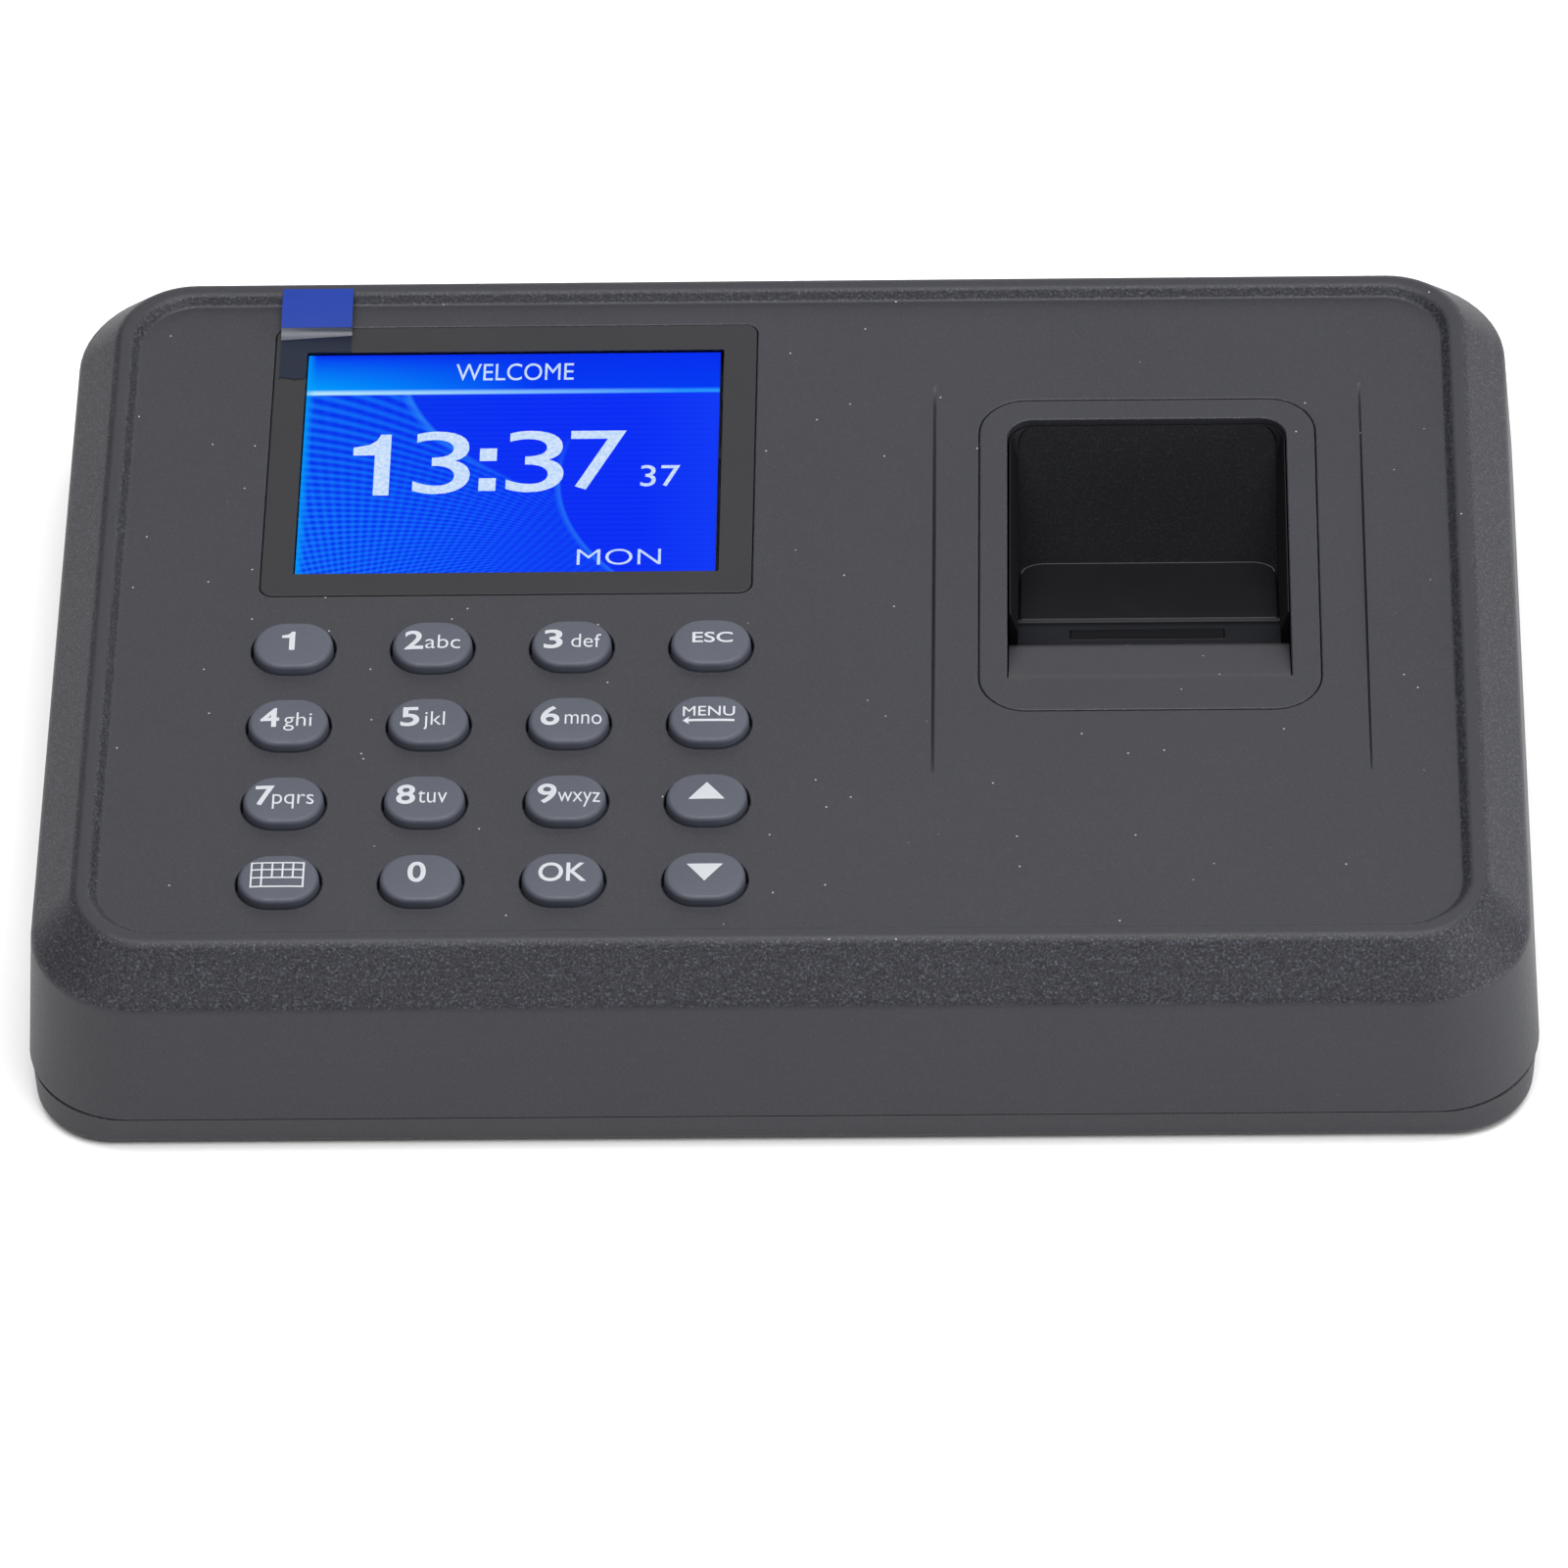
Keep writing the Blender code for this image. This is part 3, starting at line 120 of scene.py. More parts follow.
# Other printed words: (text, middle, baseline, width, height, weight)
KEY_WORDS = {
    "0": ("0", -0.4, -0.9, 2.05, 3.1, BOLD), "ok": ("OK", 0.0, -0.95, 5.4, 2.85, MEDIUM),
    "esc": ("ESC", 0.2, -0.31, 4.65, 1.65, MEDIUM), "menu": ("MENU", 0.0, 0.2, 5.95, 1.55, 0.0)}
DIGIT_MIDDLE, DIGIT_BASELINE, LETTER_BASELINE = -2.1, -1.0, -0.95
ONE_PLACE, ONE_WIDTH = (-1.3, -1.05), 1.5
MENU_LINE = (0.15, -0.52, 5.6, 0.33)
MENU_TIP = ((-2.98, -0.52), (-2.2, -1.15), (-2.45, -0.52), (-2.2, 0.08))
ARROW_HALF, ARROW_HEIGHT, ARROW_BASES = 2.05, 2.65, {"up": -0.65, "down": 1.55}
PICTURE_X, PICTURE_ROWS, PICTURE_LINE, PICTURE_COLUMNS = (-3.05, 2.85), (2.2, 1.1, -0.15, -1.5), 0.19, 5

# Scanner scoop and insert
SCOOP_X = (17.1, 67.35)
SCOOP_Y = (-27.0, 36.5)
SCOOP_DEPTH = 0.5
SCOOP_STEPS = 48
GROOVE_WIDTH = (0.38, 0.26)
GROOVE_DEPTH = 1.25
BEZEL_RADIUS = 5.5
BEZEL_FLANGE_MARGIN = 1.6
BEZEL_FLANGE_TOP = 23.9
BEZEL_LOW = 22.3
MOUTH_X = (25.8, 58.5)
MOUTH_Y = (-11.6, 30.7)
MOUTH_RADIUS, MOUTH_FRONT_RADIUS = 3.0, 0.2
RAMP_END = (-1.0, 20.8)
RAMP_THICKNESS = 1.6
RAMP_SIDE_GAP = 0.15
RAMP_NOSE, RAMP_FRONT, RAMP_ROOT = 1.7, 1.2, 1.0
INSERT_GAP = 0.1
WELL_WALL, WELL_LIP = 0.95, 0.12
TRENCH_FRONT, TRENCH_Z, PLATFORM_FRONT = -0.9, 15.0, 3.2
GLASS_NEAR, GLASS_FAR, GLASS_THICKNESS = (3.6, 19.7), (19.3, 13.5), 1.0
# GLASS_RIM gives the insets of the thin pale strip painted as a highlight along the glass's far edge.
GLASS_START, GLASS_RADIUS, GLASS_RIM = 0.4, 3.0, (0.12, 0.25)
GLASS_EDGE = ((0.12, 1.0), (0.0, 0.88), (0.0, 0.16), (0.02, 0.09), (0.06, 0.03), (0.16, 0.0), (0.3, 0.0))
BACK_FOOT = (20.1, 12.2)
EAR_Y, EAR_HALF_X, EAR_HALF_Y, EAR_Z, EAR_HOLE = 18.0, 2.8, 3.4, (17.0, 18.8), 1.35
WELL_FRONT, WELL_SHELF, SHELF_STEP = 1.4, 18.6, 0.2
APERTURE_HALF, APERTURE_Y = 9.5, (6.5, 16.5)
LIP_DEPTH = 3.0

# Display
WINDOW_RADIUS = 1.5
WINDOW_GAP = 0.1
MASK_DEPTH = 0.25
SIGHT_CENTRE = (-32.45, 24.5)
SIGHT_HALF = (24.75, 18.6)
LIT_CENTRE = (-32.69, 26.16)
LIT_HALF = (24.48, 18.36)
VIEW_CENTRE = (-32.6, 26.0)
VIEW_HALF = (25.6, 19.4)
BORDER_EDGE = ((0.0, MASK_DEPTH), (0.0, 0.08), (-0.03, 0.02), (-0.1, 0.0))
# Film tab: (y, height over the window's film) of its bend, (y, height over its top) of its grip
FILM_THICKNESS = 0.15
FILM_BEND = ((45.1, 0.02), (45.7, 0.12), (46.2, 0.42), (46.5, 0.72))
FILM_GRIP = ((48.2, -0.35), (50.0, -0.15), (51.6, -0.03))
FILM_STEPS, TEAR_STEPS, TEAR_DEPTH = 16, 8, 0.35
STUCK_BACK = (45.9, 45.4)
# Screen text: (text, left, right, top, bottom, weight), as shares of the picture
SCREEN_TEXT = (
    ("3", 0.268, 0.405, 0.358, 0.64, 0.0), ("3", 0.492, 0.63, 0.358, 0.635, 0.0),
    ("7", 0.645, 0.778, 0.36, 0.625, 0.0), ("37", 0.815, 0.91, 0.52, 0.615, 0.0),
    ("WELCOME", 0.36, 0.645, 0.045, 0.122, -0.003), ("MON", 0.67, 0.87, 0.9, 0.97, -0.01))
SCREEN_ONE = (0.122, 0.648, 0.09, 0.278)
COLON_X, COLON_Y, COLON_HEIGHT = (0.427, 0.468), (0.4375, 0.574), 0.057

# Floor and lamps: (name, place, size, watts), each aimed at the origin
FLOOR_RADIUS = 3000.0
WORLD_STRENGTH = 0.02
LAMPS = (
    ("overhead_front", (0.0, -300.0, 1200.0), (1500.0, 900.0), 20.0),
    ("overhead_back", (100.0, 250.0, 1200.0), (1500.0, 900.0), 9.0),
    ("back", (390.0, 1430.0, 650.0), (2340.0, 650.0), 10.0),
    ("right_side", (1250.0, -300.0, 450.0), (800.0, 900.0), 5.0),
    ("right_low", (1000.0, -900.0, 150.0), (900.0, 260.0), 5.5),
    ("left_low", (-1000.0, -900.0, 150.0), (900.0, 260.0), 2.5))

# Camera
CAMERA_AZIMUTH = 2.34445
CAMERA_ELEVATION = 45.965192
CAMERA_ROLL = -2.118078
CAMERA_DISTANCE = 1233.9045
CAMERA_TARGET = (-0.0503, -17.9539, 15.6)
FOCAL_PER_SIDE = 6.827842
SENSOR = 36.0


# ---------------------------------------------------------------- shapes

def rounded_rectangle(half_x, half_y, radius, centre=(0.0, 0.0), steps=CORNER_STEPS, side_points=0):
    """Anticlockwise outline with round corners, of one radius or four, and points along its sides."""
    radii = radius if isinstance(radius, tuple) else (radius,) * 4
    points = []
    for corner, (sign_x, sign_y) in enumerate(((1, 1), (-1, 1), (-1, -1), (1, -1))):
        r = radii[corner]
        for step in range(steps + 1):
            angle = math.radians(90.0 * (corner + step / steps))
            x = centre[0] + sign_x * (half_x - r) + r * math.cos(angle)
            y = centre[1] + sign_y * (half_y - r) + r * math.sin(angle)
            points.append((x, y))
        if side_points and corner in (1, 3):
            following = (corner + 1) % 4
            start, end = points[-1][1], centre[1] - sign_y * (half_y - radii[following])
            for step in range(1, side_points + 1):
                share = step / (side_points + 1)
                points.append((points[-1][0] if step > 1 else x, start + (end - start) * share))
    return points


def level(outline, z):
    """An outline at one height."""
    return [(x, y, z) for x, y in outline]


def loft(rings, closed=False):
    """A mesh skinned through rings of equal point counts, capped at both ends, or joined into a loop."""
    shape = bmesh.new()
    made = [[shape.verts.new((x * MM, y * MM, z * MM)) for x, y, z in ring] for ring in rings]
    pairs = list(zip(made, made[1:])) + ([(made[-1], made[0])] if closed else [])
    for lower, upper in pairs:
        for here in range(len(lower)):
            following = (here + 1) % len(lower)
            shape.faces.new((lower[here], lower[following], upper[following], upper[here]))
    if not closed:
        shape.faces.new(made[-1])
        shape.faces.new(list(reversed(made[0])))
    bmesh.ops.recalc_face_normals(shape, faces=shape.faces)
    mesh = bpy.data.meshes.new("loft")
    shape.to_mesh(mesh)
    shape.free()
    return mesh


def prism(outline, low, high, axis="Z"):
    """An outline given thickness along Z, or along X for an outline of (y, z) points."""
    if axis == "Z":
        return loft([level(outline, low), level(outline, high)])
    return loft([[(low, u, v) for u, v in outline], [(high, u, v) for u, v in outline]])


def rectangle(left, right, front, back):
    """Anticlockwise corners of an upright rectangle."""
    return [(left, front), (right, front), (right, back), (left, back)]


def block(x, y, z):
    """A rectangular block between two values on each axis."""
    return prism(rectangle(*x, *y), *z)


def eased(fillet, steps=4, turn=90.0):
    """Pairs (across, down) along a rounded edge, from its upright start to its level end."""
    for step in range(steps + 1):
        angle = math.radians(turn * step / steps)
        yield fillet * (1 - math.cos(angle)), fillet * (1 - math.sin(angle))


def circle(radius, centre=(0.0, 0.0), steps=32):
    """Anticlockwise round outline."""
    angles = [math.tau * step / steps for step in range(steps)]
    return [(centre[0] + radius * math.cos(a), centre[1] + radius * math.sin(a)) for a in angles]


def joined(meshes):
    """Several meshes as one."""
    shape = bmesh.new()
    for mesh in meshes:
        shape.from_mesh(mesh)
        bpy.data.meshes.remove(mesh)
    together = bpy.data.meshes.new("joined")
    shape.to_mesh(together)
    shape.free()
    return together


def piece(name, mesh, finish, body="casing", replaces=(), smooth=35.0):
    """A named piece of the terminal, shaded smooth up to an angle, that rides on a CAD body."""
    made = bpy.data.objects.new(name, mesh)
    bpy.context.scene.collection.objects.link(made)
    mesh.materials.clear()
    mesh.materials.append(finish)
    if smooth:
        mesh.shade_smooth()
        mesh.set_sharp_from_angle(angle=math.radians(smooth))
    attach(made, body)
    if replaces:
        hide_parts(*replaces)
    return made


def carve(mesh, operation, *tools):
    """The mesh after one Boolean with the joined tools."""
    scene = bpy.context.scene.collection
    base = bpy.data.objects.new("base", mesh)
    tool = bpy.data.objects.new("tool", joined(tools))
    scene.objects.link(base)
    scene.objects.link(tool)
    boolean = base.modifiers.new("carve", "BOOLEAN")
    boolean.operation = operation
    boolean.solver = "EXACT"
    boolean.object = tool
    result = bpy.data.meshes.new_from_object(base.evaluated_get(bpy.context.evaluated_depsgraph_get()))
    for item in (base, tool):
        bpy.data.objects.remove(item)
    return result


def weigh_normals(made):
    """Keeps large flat faces flat where they meet small rounded ones."""
    weighted = made.modifiers.new("weighted_normals", "WEIGHTED_NORMAL")
    weighted.keep_sharp = True
    weighted.weight = 80
    return made


def flatten_decks(made, least=1.5):
    """Shades level faces over an area flat, so that long thin ones stay even."""
    for face in made.data.polygons:
        if face.normal.z > 0.999 and face.area > least * MM * MM:
            face.use_smooth = False


def between(start, middle, end, t):
    """The point at a share of the way along a curve that starts, bends and ends at three points."""
    weights = ((1 - t) ** 2, 2 * t * (1 - t), t ** 2)
    return tuple(weights[0] * a + weights[1] * b + weights[2] * c for a, b, c in zip(start, middle, end))


def rounded_levels(levels, steps=4):
    """Levels (inset, radius, height, cut) with every break in the profile replaced by a short curve."""
    def toward(start, end, cut):
        share = min(0.48, cut / math.hypot(end[0] - start[0], end[2] - start[2]))
        return [a + (b - a) * share for a, b in zip(start[:3], end[:3])]

    result = [levels[0][:3]]
    for before, here, after in zip(levels, levels[1:], levels[2:]):
        start, end = toward(here, before, here[3]), toward(here, after, here[3])
        result += [between(start, here, end, step / steps) for step in range(steps + 1)]
    result.append(levels[-1][:3])
    return result


def scoop_height(y):
    """Height of the shallow scoop's surface at a place along Y; it runs out smoothly at both ends."""
    middle = (SCOOP_Y[0] + SCOOP_Y[1]) / 2
    half = (SCOOP_Y[1] - SCOOP_Y[0]) / 2
    share = min(1.0, abs(y - middle) / half)
    return PANEL_Z - SCOOP_DEPTH * 0.5 * (1 + math.cos(math.pi * share))


def opening(outline, low, surface, fillet=OPENING_FILLET):
    """A cutter for an opening with a rounded edge, from outline(margin) and the face's surface(y)."""
    rings = [level(outline(0.0), low)]
    for across, down in eased(fillet):
        rings.append([(x, y, surface(y) - down) for x, y in outline(across)])
    for height in (0.05, 3.0):
        rings.append([(x, y, surface(y) + height) for x, y in outline(fillet + CUT_MARGIN)])
    return loft(rings)


def stadium(half_x, half_y, margin, centre, steps=8):
    """A short round-ended outline, grown by a margin."""
    radius = max(half_y + margin - 0.02, 0.01)
    return rounded_rectangle(half_x + margin, half_y + margin, radius, centre, steps)


# ---------------------------------------------------------------- materials

class Finish:
    """A material being put together from nodes round its Principled shader."""

    def __init__(self, name, colour, roughness, **settings):
        self.material = bpy.data.materials.new(name)
        self.material.use_nodes = True
        self.tree = self.material.node_tree
        self.shader = self.tree.nodes["Principled BSDF"]
        self.colour = colour
        self.set("Base Color", (*colour, 1.0))
        self.set("Roughness", roughness)
        for socket, value in settings.items():
            self.set(socket.replace("_", " "), value)
        self.place = self.add("ShaderNodeTexCoord").outputs["Object"]

    def set(self, socket, value):
        self.shader.inputs[socket].default_value = value

    def add(self, kind, inputs=(), **settings):
        node = self.tree.nodes.new(kind)
        for name, value in settings.items():
            setattr(node, name, value)
        for key, value in dict(inputs).items():
            if isinstance(value, bpy.types.NodeSocket):
                self.tree.links.new(value, node.inputs[key])
            else:
                node.inputs[key].default_value = value
        return node

    def link(self, output, socket):
        self.tree.links.new(output, self.shader.inputs[socket])

    def noise(self, size, detail=2.0, rough=0.5, stretch=None):
        """Noise whose features are about this many millimetres across."""
        place = self.place
        if stretch:
            place = self.add("ShaderNodeMapping", {"Vector": place, "Scale": stretch}).outputs[0]
        inputs = {"Vector": place, "Scale": 1.0 / (size * MM), "Detail": detail, "Roughness": rough}
        return self.add("ShaderNodeTexNoise", inputs).outputs[0]

    def ramp(self, value, low, high, start=0.0, end=1.0):
        """Maps a value's range to another, clamped."""
        inputs = {"Value": value, "From Min": low, "From Max": high, "To Min": start, "To Max": end}
        return self.add("ShaderNodeMapRange", inputs).outputs[0]

    def math(self, operation, a, b=0.0, c=0.0):
        return self.add("ShaderNodeMath", {0: a, 1: b, 2: c}, operation=operation).outputs[0]

    def times(self, a, b):
        return self.math("MULTIPLY", a, b)

    def along(self, axis):
        """The place along an axis of the terminal, in metres."""
        return self.add("ShaderNodeSeparateXYZ", {0: self.place}).outputs[axis]

    def mix(self, factor, a, b):
        """A colour between two, each a colour or a socket."""
        def full(value):
            return value if isinstance(value, bpy.types.NodeSocket) else (*value, 1.0)
        return self.add("ShaderNodeMix", {0: factor, 6: full(a), 7: full(b)}, data_type="RGBA").outputs[2]

    def shades(self, factor, dark, light):
        """The finish's own colour made darker and lighter by a factor socket."""
        return self.mix(factor, [c * dark for c in self.colour], [c * light for c in self.colour])

    def edges(self, reach=0.35):
        """Where a surface turns an edge within some millimetres: 0 on flat places, 1 on the edge."""
        rounded = self.add("ShaderNodeBevel", {"Radius": reach * MM}).outputs[0]
        plain = self.add("ShaderNodeNewGeometry").outputs["Normal"]
        both = self.add("ShaderNodeVectorMath", {0: rounded, 1: plain}, operation="DOT_PRODUCT")
        return self.ramp(both.outputs["Value"], 0.99, 0.9)

    def bump(self, *layers):
        """Bumps from (height socket, depth in millimetres) layers."""
        normal = None
        for height, depth in layers:
            inputs = {"Height": height, "Strength": 1.0, "Distance": depth * MM}
            if normal:
                inputs["Normal"] = normal
            normal = self.add("ShaderNodeBump", inputs).outputs[0]
        self.link(normal, "Normal")


def dust_motes(finish):
    """Sparse specks of dust, seen from above."""
    cells = finish.add("ShaderNodeTexVoronoi", {"Vector": finish.place, "Scale": 1.0 / (8.0 * MM)},
                       voronoi_dimensions="2D")
    mote = finish.ramp(cells.outputs["Distance"], 0.008, 0.016, 1.0, 0.0)
    return finish.times(mote, finish.ramp(finish.noise(23.0, 4.0, 0.8), 0.5, 0.52))


def moulded_plastic(name, colour, roughness, grain=0.3, depth=0.012, specks=0.0, dust=0.0, light_and_shade_zones=(),
                    gloss=0.36):
    """Moulded plastic: eroded grain, flow mottling, painted glints and painted shade specks on sloped faces,
    edges polished by handling, dust, and zones of painted light and painted shade.
    """
    finish = Finish(name, colour, roughness, Specular_IOR_Level=gloss)
    grain_height = finish.noise(grain, 3.0, 0.6)
    fine = finish.noise(grain * 0.45, 2.0, 0.55)
    mottling = finish.noise(28.0, 3.0)
    edge = finish.edges()
    shade = finish.shades(finish.ramp(mottling, 0.3, 0.7), 0.95, 1.05)
    shade = finish.mix(finish.ramp(fine, 0.56, 0.74, 0.0, specks), shade, [c * 2.6 + 0.02 for c in colour])
    normal = finish.add("ShaderNodeNewGeometry").outputs["Normal"]
    upright = finish.add("ShaderNodeSeparateXYZ", {0: normal}).outputs[2]
    # Painted glints and painted shade specks: on sloped faces only, the speckle noise lightens some flecks
    # and darkens others, standing in for light catching the grain.
    slope = finish.times(finish.ramp(upright, 0.35, 0.5), finish.ramp(upright, 0.85, 0.95, 1.0, 0.0))
    speckle = finish.noise(grain * 1.15, 2.0, 0.7)
    painted_pit_shade = finish.times(slope, finish.ramp(speckle, 0.5, 0.38, 0.0, 0.75))
    shade = finish.mix(painted_pit_shade, shade, [c * 0.25 for c in colour])
    painted_glints = finish.times(slope, finish.ramp(speckle, 0.56, 0.68, 0.0, 0.9))
    shade = finish.mix(painted_glints, shade, [c * 3.6 for c in colour])
    # Painted light and painted shade: each zone mixes the colour towards a lighter or darker tone inside its
    # limits.
    for tone, limits in light_and_shade_zones:
        light_shade_mask = None
        for axis, low, high in limits:
            share = finish.ramp(finish.along(axis), low * MM, high * MM)
            light_shade_mask = finish.times(light_shade_mask, share) if light_shade_mask else share
        shade = finish.mix(light_shade_mask, shade, tone)
    shade = finish.mix(finish.times(edge, 0.35), shade, [c * 1.9 + 0.0005 for c in colour])
    if dust:
        motes = finish.times(dust_motes(finish), finish.ramp(upright, 0.7, 0.9))
        shade = finish.mix(finish.times(motes, dust), shade, (0.45, 0.45, 0.47))
    finish.link(shade, "Base Color")
    uneven = finish.ramp(grain_height, 0.3, 0.7, roughness - 0.05, roughness + 0.07)
    finish.link(finish.math("MULTIPLY_ADD", edge, -0.12, uneven), "Roughness")
    finish.bump((grain_height, depth), (fine, depth * 0.4))
    return finish.material


def smooth_plastic(name, colour, roughness, wear=1.3, **settings):
    """Satin or gloss plastic: slight waviness, fine scuffs, small colour drift and rubbed edges."""
    finish = Finish(name, colour, roughness, **settings)
    shade = finish.shades(finish.ramp(finish.noise(14.0, 3.0), 0.3, 0.7), 0.93, 1.07)
    edge = finish.edges(0.2)
    finish.link(finish.mix(edge, shade, [min(1.0, c * wear) for c in colour]), "Base Color")
    scuffs = finish.noise(0.8, 4.0, 0.65, (1.0, 6.0, 1.0))
    finish.link(finish.ramp(scuffs, 0.35, 0.75, roughness * 0.85, roughness * 1.25 + 0.03), "Roughness")
    finish.bump((finish.noise(3.0, 2.0), 0.004), (finish.noise(0.25, 2.0), 0.0015))
    return finish.material


def dark_glass(name, colour, roughness):
    """The sensor's dark glass: ground matt edges, a painted highlight along its far edge, and fine finger
    scuffs.
    """
    finish = Finish(name, colour, roughness, Specular_IOR_Level=0.4)
    shade = finish.shades(finish.ramp(finish.noise(9.0, 3.0), 0.3, 0.7), 0.9, 1.1)
    edge = finish.edges(0.25)
    # Painted highlight: the edges are mixed towards pale grey only near the glass's far end.
    far = finish.ramp(finish.along("Y"), (GLASS_FAR[0] - 4.0) * MM, (GLASS_FAR[0] - 0.5) * MM, 0.1, 1.0)
    finish.link(finish.mix(finish.times(edge, far), shade, (0.17, 0.17, 0.185)), "Base Color")
    scuffs = finish.noise(0.8, 4.0, 0.65, (1.0, 6.0, 1.0))
    uneven = finish.ramp(scuffs, 0.35, 0.75, roughness * 0.85, roughness * 1.4)
    finish.link(finish.math("MULTIPLY_ADD", edge, 0.4, uneven), "Roughness")
    finish.bump((finish.noise(3.0, 2.0), 0.003), (finish.noise(0.25, 2.0), 0.001))
    return finish.material


def metal(name, colour, roughness, brushed=(1.0, 1.0, 8.0)):
    """Plated or drawn metal with fine brushing and dull patches."""
    finish = Finish(name, colour, roughness, Metallic=1.0)
    brushing = finish.noise(0.5, 4.0, 0.7, brushed)
    shade = finish.shades(finish.noise(2.5, 3.0), 0.85, 1.1)
    finish.link(finish.mix(finish.edges(0.2), shade, [min(1.0, c * 1.25) for c in colour]), "Base Color")
    finish.link(finish.ramp(brushing, 0.3, 0.7, roughness * 0.8, roughness * 1.3), "Roughness")
    finish.bump((brushing, 0.002))
    return finish.material


def rubber(name, colour, roughness):
    """Rubber or silicone: matt, slightly powdery, with a fine orange-peel surface."""
    finish = Finish(name, colour, roughness)
    powder = finish.ramp(finish.noise(4.0, 4.0, 0.65), 0.45, 0.75)
    shade = finish.mix(powder, colour, [c * 1.25 + 0.004 for c in colour])
    finish.link(finish.mix(finish.edges(0.3), shade, [c * 1.6 + 0.006 for c in colour]), "Base Color")
    uneven = finish.ramp(finish.noise(0.6, 3.0), 0.3, 0.7, roughness - 0.08, roughness + 0.05)
    finish.link(uneven, "Roughness")
    finish.bump((finish.noise(0.35, 3.0), 0.008))
    return finish.material


def circuit_board(name, colour):
    """Solder mask over copper tracks and pads, with bare glass fibre at its cut edges."""
    finish = Finish(name, colour, 0.35)
    inputs = {"Vector": finish.place, "Scale": 1.0 / (4.0 * MM), "Mortar Size": 0.05,
              "Color1": (0, 0, 0, 1), "Color2": (0, 0, 0, 1), "Mortar": (1, 1, 1, 1)}
    tracks = finish.add("ShaderNodeTexBrick", inputs).outputs[0]
    shade = finish.mix(finish.ramp(finish.noise(6.0), 0.3, 0.7), [c * 0.85 for c in colour], colour)
    shade = finish.mix(tracks, shade, [c * 1.8 for c in colour])
    finish.link(finish.mix(finish.edges(0.25), shade, (0.3, 0.28, 0.16)), "Base Color")
    finish.link(finish.ramp(finish.noise(1.5), 0.3, 0.7, 0.28, 0.42), "Roughness")
    finish.bump((tracks, 0.02))
    return finish.material


def clear_solid(name, colour, roughness, ior):
    """Glass or clear acrylic with a faint tint, hair-fine scuffs and matt edges."""
    finish = Finish(name, colour, roughness, Transmission_Weight=1.0, IOR=ior, Specular_IOR_Level=0.12)
    finish.link(finish.shades(finish.ramp(finish.noise(12.0, 3.0), 0.3, 0.7), 0.985, 1.0), "Base Color")
    scuffs = finish.noise(0.5, 4.0, 0.7, (1.0, 5.0, 1.0))
    worn = finish.ramp(scuffs, 0.62, 0.8, roughness, roughness + 0.06)
    finish.link(finish.math("MULTIPLY_ADD", finish.edges(0.15), 0.2, worn), "Roughness")
    finish.bump((finish.noise(6.0, 2.0), 0.0006))
    return finish.material


